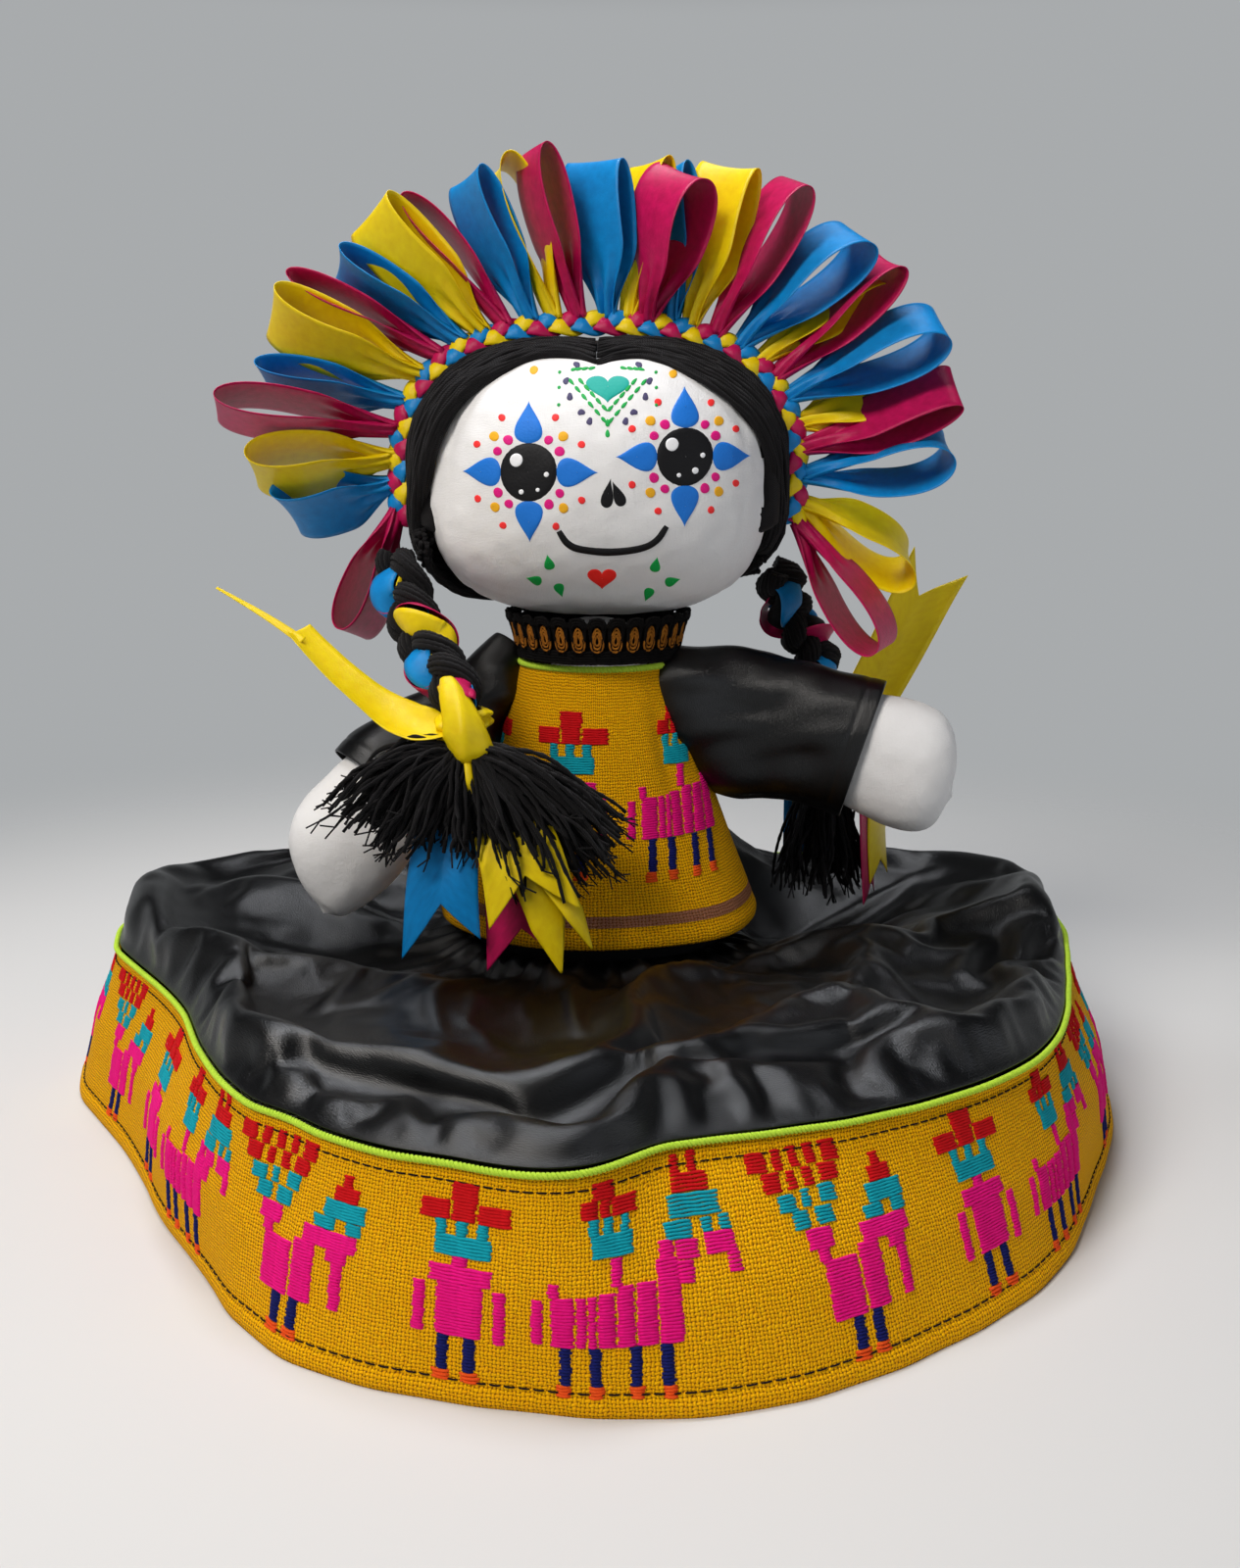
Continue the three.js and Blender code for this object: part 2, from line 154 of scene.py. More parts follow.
class Finish:
    """A principled material, with short names for the nodes that the finishes below share."""

    def __init__(self, name, colour, roughness, **inputs):
        self.material = bpy.data.materials.new(name)
        self.material.use_nodes = True
        self.tree = self.material.node_tree
        self.shader = self.tree.nodes["Principled BSDF"]
        self.feed(self.shader.inputs["Base Color"], linear(colour))
        self.feed(self.shader.inputs["Roughness"], roughness)
        for key, value in inputs.items():
            self.feed(self.shader.inputs[key.replace("_", " ")], value)

    def feed(self, socket, value):
        if isinstance(value, bpy.types.NodeSocket):
            self.tree.links.new(value, socket)
        else:
            socket.default_value = value

    def node(self, kind, *inputs, **settings):
        made = self.tree.nodes.new("ShaderNode" + kind)
        for key, value in settings.items():
            setattr(made, key, value)
        for socket, value in zip(made.inputs, inputs):
            self.feed(socket, value)
        return made

    def math(self, operation, *inputs):
        return self.node("Math", *inputs, operation=operation).outputs[0]

    def mix(self, share, first, second):
        made = self.tree.nodes.new("ShaderNodeMix")
        made.data_type = "RGBA"
        for index, value in ((0, share), (6, first), (7, second)):
            self.feed(made.inputs[index], value)
        return made.outputs[2]

    def tint(self, share, first, second):
        """Colours the surface between two colours, by a share that runs from 0 to 1."""
        self.feed(self.shader.inputs["Base Color"], self.mix(share, first, second))

    def uv(self):
        """The piece's own cloth coordinates, in millimetres along and across its threads."""
        made = self.node("SeparateXYZ", self.node("TexCoord").outputs["UV"])
        return made.outputs[0], made.outputs[1]

    def noise(self, scale, detail=2.0, stretch=(1, 1, 1)):
        """Soft noise over the cloth coordinates, with features about 1/scale millimetres across."""
        place = self.node("Mapping", self.node("TexCoord").outputs["UV"])
        place.inputs["Scale"].default_value = stretch
        made = self.node("TexNoise", noise_dimensions="2D")
        self.feed(made.inputs["Vector"], place.outputs[0])
        self.feed(made.inputs["Scale"], scale)
        self.feed(made.inputs["Detail"], detail)
        return made.outputs[0]

    def bump(self, height, depth):
        """Bump whose full height is this many millimetres, on top of any bump that is there."""
        made = self.node("Bump")
        self.feed(made.inputs["Height"], height)
        self.feed(made.inputs["Distance"], depth * MM)
        self.feed(made.inputs["Strength"], 1.0)
        socket = self.shader.inputs["Normal"]
        if socket.is_linked:
            self.feed(made.inputs["Normal"], socket.links[0].from_socket)
        self.feed(socket, made.outputs[0])

    def ribs(self, along, pitch):
        """A rounded ridge every pitch millimetres: 0 between threads and 1 on top of each."""
        return self.math("ABSOLUTE", self.math("SINE", self.math("MULTIPLY", along, math.pi / pitch)))

    def weave(self, pitch, wander=0.12):
        """The height of a plain weave, 0 in the gaps and about 1 on top of the threads."""
        u, v = self.uv()
        drift = self.math("MULTIPLY", self.math("SUBTRACT", self.noise(0.35), 0.5), wander * 8)
        u, v = self.math("ADD", u, drift), self.math("ADD", v, drift)
        wave_u = self.math("SINE", self.math("MULTIPLY", u, math.pi / pitch))
        wave_v = self.math("SINE", self.math("MULTIPLY", v, math.pi / pitch))
        over = self.math("MULTIPLY", wave_u, wave_v)
        warp = self.math("POWER", self.math("ABSOLUTE", wave_u), 0.6)
        weft = self.math("POWER", self.math("ABSOLUTE", wave_v), 0.6)
        warp = self.math("MULTIPLY", warp, self.math("MULTIPLY_ADD", over, 0.4, 0.6))
        weft = self.math("MULTIPLY", weft, self.math("MULTIPLY_ADD", over, -0.4, 0.6))
        return self.math("MAXIMUM", warp, weft)

    def through(self, share):
        """Lets some light through, as thin cloth does."""
        glow = self.node("BsdfTranslucent")
        link = self.shader.inputs["Base Color"]
        self.feed(glow.inputs[0], link.links[0].from_socket if link.is_linked else link.default_value)
        blend = self.node("MixShader", share)
        self.feed(blend.inputs[1], self.shader.outputs[0])
        self.feed(blend.inputs[2], glow.outputs[0])
        self.feed(self.tree.nodes["Material Output"].inputs[0], blend.outputs[0])


def cotton():
    look = Finish("cotton", "#f1efee", 0.85, Sheen_Weight=0.08)
    shade = look.math("MULTIPLY_ADD", look.noise(0.08, 3), 0.35, 0.32)
    look.tint(shade, linear("#e6e3e2"), linear("#f7f6f5"))
    look.bump(look.weave(0.42), 0.09)
    look.bump(look.noise(0.5, 3), 0.12)
    return look


def black_satin():
    look = Finish("black_satin", "#020203", 0.3, Specular_IOR_Level=0.5)
    u, v = look.uv()
    grain = look.noise(2.2, 3, (0.5, 1.6, 1))
    look.feed(look.shader.inputs["Roughness"], look.math("MULTIPLY_ADD", grain, 0.14, 0.24))
    look.bump(look.ribs(look.math("ADD", u, v), 0.4), 0.03)
    look.bump(grain, 0.1)
    return look


def woven(name, stripe=None):
    """The yellow-orange cloth. stripe is the lowest and highest place of a purple stripe above the hem."""
    look = Finish(name, "#f2a505", 0.9, Specular_IOR_Level=0.12)
    height = look.weave(0.95)
    thread = look.mix(look.noise(0.7, 2), linear("#f7a600"), linear("#ffc400"))
    if stripe:
        v = look.uv()[1]
        inside = look.math(
            "MULTIPLY", look.math("GREATER_THAN", v, stripe[0]), look.math("LESS_THAN", v, stripe[1])
        )
        thread = look.mix(look.math("MULTIPLY", inside, 0.75), thread, linear("#6d3a5c"))
    # Painted shade: where the weave is low, between the threads, the colour is darkened to brown-orange, as
    # if shade fell there.
    gap = look.node("MapRange", height, 0.26, 0.64, 0.0, 1.0).outputs[0]
    look.tint(gap, linear("#6e3802"), thread)
    look.bump(height, 0.45)
    look.bump(look.noise(3.0, 2), 0.08)
    return look


def ribbon_satin(name, colour, shade):
    look = Finish(name, colour, 0.36, Specular_IOR_Level=0.3)
    u, v = look.uv()
    tone = look.noise(0.35, 2)
    look.tint(tone, linear(shade), linear(colour))
    look.bump(look.ribs(look.math("ADD", v, look.math("MULTIPLY", u, 0.35)), 0.32), 0.035)
    look.bump(look.noise(1.5, 2), 0.05)
    look.through(0.05)
    return look


def yarn(name="yarn", colour="#050405", fuzz="#171416"):
    look = Finish(name, colour, 0.9, Sheen_Weight=0.05, Specular_IOR_Level=0.25)
    u, v = look.uv()
    look.tint(look.noise(1.4, 3), linear(colour), linear(fuzz))
    look.bump(look.ribs(look.math("ADD", v, u), 0.7), 0.12)
    return look


def thread(name, colour, shade):
    look = Finish(name, colour, 0.85, Specular_IOR_Level=0.15)
    u, v = look.uv()
    look.tint(look.noise(0.9, 2), linear(shade), linear(colour))
    look.bump(look.ribs(look.math("ADD", v, u), 0.5), 0.08)
    return look


def paint_coat(name, colour, roughness=0.6):
    look = Finish(name, colour, roughness, Specular_IOR_Level=0.25)
    look.bump(look.noise(1.2, 3), 0.1)
    return look


def wear(piece, look):
    piece.data.materials.append(look.material)


def dress(piece, look, body, node=None):
    """Gives a piece its look and the body it rides on, and hides the CAD node that it stands for."""
    wear(piece, look)
    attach(piece, body)
    if node:
        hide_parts(node)


# ---------------------------------------------------------------- meshes

def unit(vectors):
    vectors = np.asarray(vectors, float)
    return vectors / np.maximum(np.linalg.norm(vectors, axis=-1, keepdims=True), 1e-12)


def hill(x, centre, width):
    """1 at a centre, falling away softly over this width on both sides."""
    return np.exp(-(((x - centre) / width) ** 2))


def ramp(x, start, length):
    """0 up to the start, then rising evenly to 1 over this length."""
    return np.clip((x - start) / length, 0, 1)


def heading(path):
    """The unit direction of a path at each of its points."""
    return unit(np.gradient(path, axis=0))


def add_piece(name, points, quads, triangles=(), uvs=None):
    """A smooth mesh object from points in millimetres; uvs has one row for each face corner, quads first."""
    mesh = bpy.data.meshes.new(name)
    quads = np.asarray(quads, int).reshape(-1, 4)
    triangles = np.asarray(triangles, int).reshape(-1, 3)
    corners = np.concatenate([quads.ravel(), triangles.ravel()])
    sizes = np.concatenate([np.full(len(quads), 4), np.full(len(triangles), 3)])
    mesh.vertices.add(len(points))
    mesh.vertices.foreach_set("co", (np.asarray(points, float) * MM).astype(np.float32).ravel())
    mesh.loops.add(len(corners))
    mesh.loops.foreach_set("vertex_index", corners.astype(np.int32))
    mesh.polygons.add(len(sizes))
    mesh.polygons.foreach_set("loop_start", (np.cumsum(sizes) - sizes).astype(np.int32))
    if uvs is not None:
        mesh.uv_layers.new(name="UVMap").data.foreach_set("uv", np.asarray(uvs, np.float32).ravel())
    mesh.update(calc_edges=True)
    mesh.validate()
    mesh.shade_smooth()
    piece = bpy.data.objects.new(name, mesh)
    bpy.context.scene.collection.objects.link(piece)
    return piece


def lengths_along(points):
    """How far along its line each point is, the first axis being along the line."""
    steps = np.linalg.norm(np.diff(points, axis=0), axis=-1)
    steps = steps.reshape(len(steps), -1).mean(1)
    return np.concatenate([[0], np.cumsum(steps)])


def grid_faces(rows, cols, close_u):
    """Each face's corners as rows and columns, and as vertex numbers."""
    i, j = np.meshgrid(np.arange(rows - 1), np.arange(cols if close_u else cols - 1), indexing="ij")
    i, j = i.ravel(), j.ravel()
    corners = [(i, j), (i, j + 1), (i + 1, j + 1), (i + 1, j)]
    return corners, np.stack([a * cols + b % cols for a, b in corners], 1)


def grid(name, points, close_u=False, u=None, v=None):
    """A surface through points[row, column]. Its cloth coordinates are the lengths along it, or u and v."""
    rows, cols = points.shape[:2]
    wrapped = np.concatenate([points, points[:, :1]], 1) if close_u else points
    u = lengths_along(np.moveaxis(wrapped, 1, 0)) if u is None else np.asarray(u, float)
    v = lengths_along(points) if v is None else np.asarray(v, float)
    corners, quads = grid_faces(rows, cols, close_u)
    uvs = np.stack([np.stack([u[b], v[a]], 1) for a, b in corners], 1).reshape(-1, 2)
    return add_piece(name, points.reshape(-1, 3), quads, uvs=uvs)


def thicken(piece, thickness, offset=0.0):
    made = piece.modifiers.new("thickness", "SOLIDIFY")
    made.thickness = thickness * MM
    made.offset = offset
    made.use_even_offset = False


def settle(piece):
    """Applies what modifiers the piece has, so that its mesh is the shape that is seen."""
    graph = bpy.context.evaluated_depsgraph_get()
    mesh = bpy.data.meshes.new_from_object(piece.evaluated_get(graph))
    piece.modifiers.clear()
    old = piece.data
    piece.data = mesh
    mesh.name = old.name
    bpy.data.meshes.remove(old)


def round_off(piece):
    made = piece.modifiers.new("rounding", "SUBSURF")
    made.levels = made.render_levels = 1


def frame_along(path, up=None):
    """Unit directions along a path, sideways from it and up from it at each of its points."""
    forward = heading(path)
    if up is None:
        up = np.linalg.svd(path - path.mean(0))[2][-1]
    side = unit(np.cross(forward, up))
    return forward, side, np.cross(side, forward)


class Tubes:
    """Many round threads gathered into one mesh."""

    def __init__(self):
        self.points, self.quads, self.triangles, self.uvs, self.end_uvs = [], [], [], [], []
        self.count = 0

    def add(self, path, radius, sides=6, up=None, flat=1.0, ply=0.0, pitch=3.0, start=0.0):
        """One thread. flat squeezes it towards up, and ply twists two strands together every pitch."""
        path = np.asarray(path, float)
        n = len(path)
        _, side, rise = frame_along(path, up)
        turn = np.arange(sides) * TAU / sides
        arc = lengths_along(path)
        radius = np.broadcast_to(np.asarray(radius, float), (n,))[:, None]
        reach = radius * (1 + ply * np.cos(2 * (turn + TAU * (arc[:, None] / pitch + start))))
        ring = (
            (reach * np.cos(turn))[..., None] * side[:, None] + flat * (reach * np.sin(turn))[..., None]
            * rise[:, None]
        )
        ends = path[[0, -1]]
        self.points += [(path[:, None] + ring).reshape(-1, 3), ends]
        corners, quads = grid_faces(n, sides, True)
        size = radius.mean() * TAU / sides
        self.uvs.append(np.stack([np.stack([b * size, arc[a]], 1) for a, b in corners], 1).reshape(-1, 2))
        self.quads.append(quads[:, ::-1] + self.count)
        near, far = self.count + n * sides, self.count + n * sides + 1
        k = np.arange(sides)
        first = self.count + k
        last = self.count + (n - 1) * sides + k
        self.triangles.append(np.stack([np.full(sides, near), first, np.roll(first, -1)], 1))
        self.triangles.append(np.stack([np.full(sides, far), np.roll(last, -1), last], 1))
        self.end_uvs.append(np.zeros((sides * 6, 2)))
        self.count += n * sides + 2

    def piece(self, name):
        uvs = np.concatenate([a.reshape(-1, 4, 2)[:, ::-1].reshape(-1, 2) for a in self.uvs] + self.end_uvs)
        points, quads, triangles = (np.concatenate(a) for a in (self.points, self.quads, self.triangles))
        return add_piece(name, points, quads, triangles, uvs)


def read_along(arc, values, at):
    """Reads points or directions, known at lengths arc along a line, at other lengths."""
    return np.stack([np.interp(at, arc, values[:, k]) for k in range(3)], 1)


def smooth_path(points, steps):
    """A smooth curve through given points, as this many evenly spread points."""
    points = np.asarray(points, float)
    padded = np.concatenate([[2 * points[0] - points[1]], points, [2 * points[-1] - points[-2]]])
    t = np.linspace(0, 1, 12, endpoint=False)[:, None]
    spans = []
    for a, b, c, d in zip(padded, padded[1:], padded[2:], padded[3:]):
        spans.append(
            0.5 * (2 * b + (c - a) * t + (2 * a - 5 * b + 4 * c - d) * t**2 + (3 * b - a - 3 * c + d) * t**3)
        )
    dense = np.concatenate(spans + [points[-1:]])
    arc = lengths_along(dense)
    return read_along(arc, dense, np.linspace(0, arc[-1], steps))


def ribbon(
    name, path, across, width, looks, colour, body, node=None, columns=9, cup=0.0, notch=0.0, slant=0.0,
    thickness=0.28,
):
    """A flat ribbon along a path. across is its width's direction; notch cuts a swallow tail that deep."""
    path = np.asarray(path, float)
    forward = heading(path)
    across = np.broadcast_to(np.asarray(across, float), path.shape)
    across = unit(across - (across * forward).sum(1, keepdims=True) * forward)
    up = np.cross(forward, across)
    width = np.broadcast_to(np.asarray(width, float), (len(path),))
    arc = lengths_along(path)
    x = np.linspace(-1, 1, columns)
    points = np.zeros((len(path), columns, 3))
    for k, at in enumerate(x):
        end = arc[-1] - notch * (1 - abs(at)) - slant * (at + 1) / 2
        s = arc * end / arc[-1]
        half = np.interp(s, arc, width) / 2
        middle, sideways, outward = (read_along(arc, values, s) for values in (path, across, up))
        rise = cup * half * (1 - at * at)
        points[:, k] = middle + sideways * (at * half)[:, None] + outward * rise[:, None]
    piece = grid(name, points, u=(x + 1) * width.max() / 2, v=arc)
    thicken(piece, thickness)
    dress(piece, looks[colour], body, node)


def box_of(node):
    """A CAD node's lowest and highest corners in millimetres."""
    low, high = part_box(node)
    return np.array(low) / MM, np.array(high) / MM


def middle_of(node):
    low, high = box_of(node)
    return (low + high) / 2


def tree_of(piece):
    """A search tree over a piece's surface, in metres."""
    corners = [piece.matrix_world @ v.co for v in piece.data.vertices]
    return BVHTree.FromPolygons(corners, [list(face.vertices) for face in piece.data.polygons])


def struck(tree, start, direction):
    """Where a line first meets a surface and the surface's normal there, in millimetres, or None."""
    place, normal, _, _ = tree.ray_cast(Vector(start) * MM, Vector(direction))
    return (np.array(place) / MM, np.array(normal)) if place is not None else None


def wobble(points, size, seed):
    """Soft random bumps from -1 to 1, features about size millimetres across, the same on every run."""
    dice = np.random.default_rng(seed)
    total = np.zeros(points.shape[:-1])
    for _ in range(12):
        direction = unit(dice.normal(size=3)) * TAU / size * dice.uniform(0.6, 1.5)
        total += np.sin(points @ direction + dice.uniform(0, TAU))
    return total / 4


# ---------------------------------------------------------------- head and face

HEAD_MIDDLE = middle_of("head")
HEAD_HALF = (box_of("head")[1] - box_of("head")[0]) / 2
HAIR_FRONT = box_of("hair")[0][1]
HAIR_HALF = box_of("hair")[1] - HEAD_MIDDLE
SQUARENESS = 2.6  # the head's outline from in front is a rounded oblong; 2 would be an ellipse
CHIN_SQUARENESS = 2.8


def head_shape(direction, half):
    """The point of a head-shaped ball, of these half sizes, in each unit direction."""
    direction = np.asarray(direction, float)
    x, z = direction[..., 0], direction[..., 2]
    flat = np.maximum(np.hypot(x, z), 1e-9)
    power = np.where(z < 0, CHIN_SQUARENESS, SQUARENESS)
    reach = (np.abs(x / flat) ** power + np.abs(z / flat) ** power) ** (-1 / power)
    return HEAD_MIDDLE + direction * np.stack([reach, np.ones_like(reach), reach], -1) * half


def ball_directions(rows, cols):
    tilt = np.linspace(-math.pi / 2, math.pi / 2, rows)[:, None]
    turn = np.arange(cols) * TAU / cols
    return np.stack([np.cos(tilt) * np.cos(turn), np.cos(tilt) * np.sin(turn), np.sin(tilt) + 0 * turn], -1)


def weld(piece, within=0.02):
    mesh = bmesh.new()
    mesh.from_mesh(piece.data)
    bmesh.ops.remove_doubles(mesh, verts=mesh.verts, dist=within * MM)
    bmesh.ops.recalc_face_normals(mesh, faces=mesh.faces)
    mesh.to_mesh(piece.data)
    mesh.free()
    return piece


def flat_uvs(piece):
    """Gives each face cloth coordinates straight from the front, side or top, whichever it faces most."""
    mesh = piece.data
    layer = mesh.uv_layers.get("UVMap") or mesh.uv_layers.new(name="UVMap")
    co = np.zeros(len(mesh.vertices) * 3, np.float32)
    mesh.vertices.foreach_get("co", co)
    co = co.reshape(-1, 3) / MM
    corner = np.zeros(len(mesh.loops), np.int32)
    mesh.loops.foreach_get("vertex_index", corner)
    normals = np.zeros(len(mesh.polygons) * 3, np.float32)
    mesh.polygons.foreach_get("normal", normals)
    sizes = np.zeros(len(mesh.polygons), np.int32)
    mesh.polygons.foreach_get("loop_total", sizes)
    facing = np.repeat(np.abs(normals.reshape(-1, 3)).argmax(1), sizes)
    axes = np.array([[1, 2], [0, 2], [0, 1]])[facing]
    layer.data.foreach_set("uv", np.take_along_axis(co[corner], axes, 1).ravel())


def make_head(look):
    directions = ball_directions(110, 200)
    points = head_shape(directions, HEAD_HALF)
    outward = unit(directions / HEAD_HALF)
    lumps = 0.55 * wobble(points, 34, 3) + 0.16 * wobble(points, 9, 4)
    seam = 0
    for side in (-1, 1):
        from_seam = points[..., 0] - side * (44.5 - 0.004 * (points[..., 2] - HEAD_MIDDLE[2]) ** 2)
        seam = seam + hill(from_seam, 0, 0.9) * (points[..., 1] < 2)
    points = points + outward * (lumps - 0.28 * seam)[..., None]
    head = weld(grid("head_cloth", points, close_u=True))
    flat_uvs(head)
    dress(head, look, "head", "head")
    return head


def drop(x, z, length, width, turn):
    """A teardrop outline with its round end at x, z and its tip this far away towards turn degrees."""
    t = np.linspace(0, TAU, 40, endpoint=False)
    along = (1 - np.cos(t)) / 2
    across = np.sin(t) * (1 - along) ** 0.9 * 1.25
    along = along * length - width * 0.28
    a = math.radians(turn)
    return np.stack([
        x + along * math.cos(a) - across * width / 2 * math.sin(a),
        z + along * math.sin(a) + across * width / 2 * math.cos(a),
    ], 1)


def disc(x, z, radius, seed=0, rough=0.04):
    t = np.linspace(0, TAU, 28, endpoint=False)
    r = radius * (1 + rough * np.sin(2 * t + seed) + rough * 0.6 * np.sin(3 * t + 2 * seed))
    return np.stack([x + r * np.cos(t), z + r * np.sin(t)], 1)


def heart(x, z, width, height):
    t = np.linspace(0, TAU, 44, endpoint=False)
    across = np.sin(t) ** 3
    up = (13 * np.cos(t) - 5 * np.cos(2 * t) - 2 * np.cos(3 * t) - np.cos(4 * t)) / 14.5 + 0.16
    return np.stack([x + across * width / 2, z + up * height / 2], 1)


def dab(x, z, length, width, turn):
    """A short brush dab, rounder at its first end."""
    t = np.linspace(0, TAU, 24, endpoint=False)
    a = math.radians(turn)
    along, across = np.cos(t) * length / 2, np.sin(t) * width / 2 * (1 - 0.35 * np.cos(t))
    return np.stack([
        x + along * math.cos(a) - across * math.sin(a), z + along * math.sin(a) + across * math.cos(a)
    ], 1)


def paint_on(name, tree, shapes, look, layer=0.0, height=0.25):
    """Raised strokes of paint. Each shape is an outline in millimetres from the middle of the face."""
    levels = np.array([1.0, 0.93, 0.8, 0.6, 0.35, 0.0])
    points, quads, uvs, count = [], [], [], 0
    for outline in shapes:
        centre = outline.mean(0)
        n = len(outline)
        for level in levels:
            rise = layer + height * (1 - level**4) ** 0.5 + (0.02 if level < 1 else -0.12)
            for x, z in centre + (outline - centre) * max(level, 0.02):
                place, normal = struck(tree, (HEAD_MIDDLE[0] + x, -200, HEAD_MIDDLE[2] + z), (0, 1, 0))
                points.append(place + normal * rise)
        faces = grid_faces(len(levels), n, True)[1]
        quads.append(faces + count)
        flat = np.array(points[count:])[:, [0, 2]]
        uvs.append(flat[faces.ravel()])
        count = len(points)
    piece = add_piece(name, np.array(points), np.concatenate(quads), uvs=np.concatenate(uvs))
    dress(piece, look, "head")


EYES = ((-19.6, 3.8), (26.0, 8.2))
GLINTS = (
    ((-3.4, 3.4, 1.95), (5.4, -0.6, 0.75), (-2.0, -5.6, 0.75), (2.8, -5.0, 0.6)),
    ((-4.0, 3.4, 1.95), (5.0, 0.3, 0.75), (2.8, -4.0, 0.95), (-2.0, -5.3, 0.65)),
)


def paint_face(head):
    tree = tree_of(head)
    blue, black, white, pink, mustard, red, green, teal, purple, coral = (
        paint_coat("paint_" + name, colour)
        for name, colour in (
            ("blue", "#1b76d6"), ("black", "#0e0d10"), ("white", "#f6f6f8"), ("pink", "#e0117f"),
            ("mustard", "#f2b01e"), ("red", "#fb3434"), ("green", "#12a84a"), ("teal", "#1aa79a"),
            ("purple", "#4a4468"), ("coral", "#fa2a22"),
        )
    )
    petals, dots, gold_dots, small_dots, glints = [], [], [], [], []
    for (x, z), lights in zip(EYES, GLINTS):
        for quarter in range(4):
            a = math.radians(90 * quarter)
            petals.append(drop(x + 10.9 * math.cos(a), z + 10.9 * math.sin(a), 12.4, 10.2, 90 * quarter))
            for turn, far, kind, size in (
                (33, 10.9, dots, 1.5), (57, 10.9, dots, 1.35), (45, 14.4, gold_dots, 1.5),
                (27, 17.4, small_dots, 1.1), (63, 17.4, small_dots, 1.1),
            ):
                b = math.radians(90 * quarter + turn)
                kind.append(disc(x + far * math.cos(b), z + far * math.sin(b), size, seed=turn + quarter))
        glints += [disc(x + dx, z + dz, r, rough=0.02) for dx, dz, r in lights]
    gold_dots += [disc(-18.5, 33.1, 1.3), disc(22.7, 32.0, 1.3)]
    paint_on("eye_petals", tree, petals, blue, height=0.35)
    paint_on("eyes", tree, [disc(x, z, 8.5, rough=0.016) for x, z in EYES], black, layer=0.06, height=0.4)
    paint_on("eye_glints", tree, glints, white, layer=0.42, height=0.25)
    paint_on("pink_dots", tree, dots, pink)
    paint_on("gold_dots", tree, gold_dots, mustard)
    paint_on("red_dots", tree, small_dots, red)
    paint_on("nose", tree, [drop(3.0, -5.2, 8.8, 4.4, 80), drop(7.4, -4.8, 8.0, 4.2, 113)], black)
    paint_on("chin_heart", tree, [heart(1.6, -28.0, 9.0, 7.0)], coral)
    leaves = [
        (-13.9, -23.9, 100), (-17.6, -28.7, 165), (-11.6, -30.4, 285), (17.4, -24.7, 80), (21.6, -29.2, 15),
        (16.0, -32.0, 250)
    ]
    paint_on("chin_leaves", tree, [drop(x, z, 5.0, 3.9, turn) for x, z, turn in leaves], green)
    paint_on("brow_heart", tree, [heart(3.4, 27.4, 13.2, 8.2)], teal)
    make_brow_pattern(tree, green, purple)
    mouth = np.array([
        [-10.9, -13.1], [-8.6, -16.6], [-4.8, -18.5], [4, -19.4], [13.2, -18.3], [17.8, -15.9], [20.7, -11.8],
    ])
    route = smooth_path(np.column_stack([mouth[:, 0], np.zeros(len(mouth)), mouth[:, 1]]), 40)
    line = [struck(tree, (HEAD_MIDDLE[0] + x, -200, HEAD_MIDDLE[2] + z), (0, 1, 0)) for x, _, z in route]
    strokes = Tubes()
    ease = 0.62 + 0.38 * np.sin(np.linspace(0, math.pi, len(line))) ** 0.5
    strokes.add([p for p, _ in line], 1.3 * ease, sides=8, up=np.array([n for _, n in line]), flat=0.35)
    dress(strokes.piece("mouth"), black, "head")


def make_brow_pattern(tree, green, purple):
    """Rows of green dabs and purple blobs that follow the heart's edge down to a point."""
    x, z = 3.4, 27.4
    dabs, blobs = [], []
    for reach, drop_by, count in ((8.6, 6.4, 5), (11.6, 10.0, 6)):
        for side in (-1, 1):
            for k in range(count):
                t = (k + 0.5) / count
                dabs.append(
                    dab(x + side * reach * (1 - t), z + 3.2 - t * (drop_by + 3.2), 2.5, 1.0, side * 48)
                )
    for k, far in enumerate((5.2, 7.4, 9.4, 11.0)):
        for side in (-1, 1):
            dabs.append(dab(x + side * (far * 0.9), z + 6.2 - 0.12 * k, 2.2, 0.9, -side * 14))
    for side in (-1, 1):
        for dx, dz in ((12.2, 2.4), (11.0, -2.2), (7.6, -6.6), (5.2, -9.2), (9.2, 7.2)):
            blobs.append(disc(x + side * dx, z + dz, 1.0, seed=dx, rough=0.15))
    dabs += [dab(x, z - d, 2.3, 1.3, 90) for d in (9.6, 12.6)]
    dabs += [disc(x + side * 14.2, z + dz, 0.5) for side in (-1, 1) for dz in (5.0, 0.5, -4.5)]
    paint_on("brow_dabs", tree, dabs, green)
    paint_on("brow_blobs", tree, blobs, purple)


# ---------------------------------------------------------------- hair and braids

PART_START, PART_END = math.radians(62), math.radians(228)  # the parting runs from the brow over to the nape
# The hair's front edge on each side of the face, from the parting down to the braid, on the head's surface.
RIGHT_HAIRLINE = (
    (0, -24, 234), (-8, -19, 237), (-17, -19, 235.5), (-26.6, -23, 230), (-34.4, -25, 224),
    (-41, -24.5, 217), (-46, -22, 208.6), (-50, -17, 198.4), (-52.5, -11, 188), (-54, -8, 178),
)
LEFT_HAIRLINE = (
    (0, -24, 234), (9.3, -20, 236), (18, -21.5, 234), (26.5, -25, 229), (36, -25.5, 222.4),
    (43, -22.5, 216.3), (48.5, -18, 209.4), (52, -12.5, 200), (53, -9, 190), (53, -6, 180),
)


def slerp(a, b, t):
    angle = math.acos(float(np.clip(a @ b, -1, 1)))
    return (np.sin((1 - t) * angle)[:, None] * a + np.sin(t * angle)[:, None] * b) / math.sin(angle)


def braid_root(side):
    """Where a braid leaves the hair, as its own route starts in the frame."""
    return RIGHT_BRAID[0] if side < 0 else LEFT_BRAID[0]


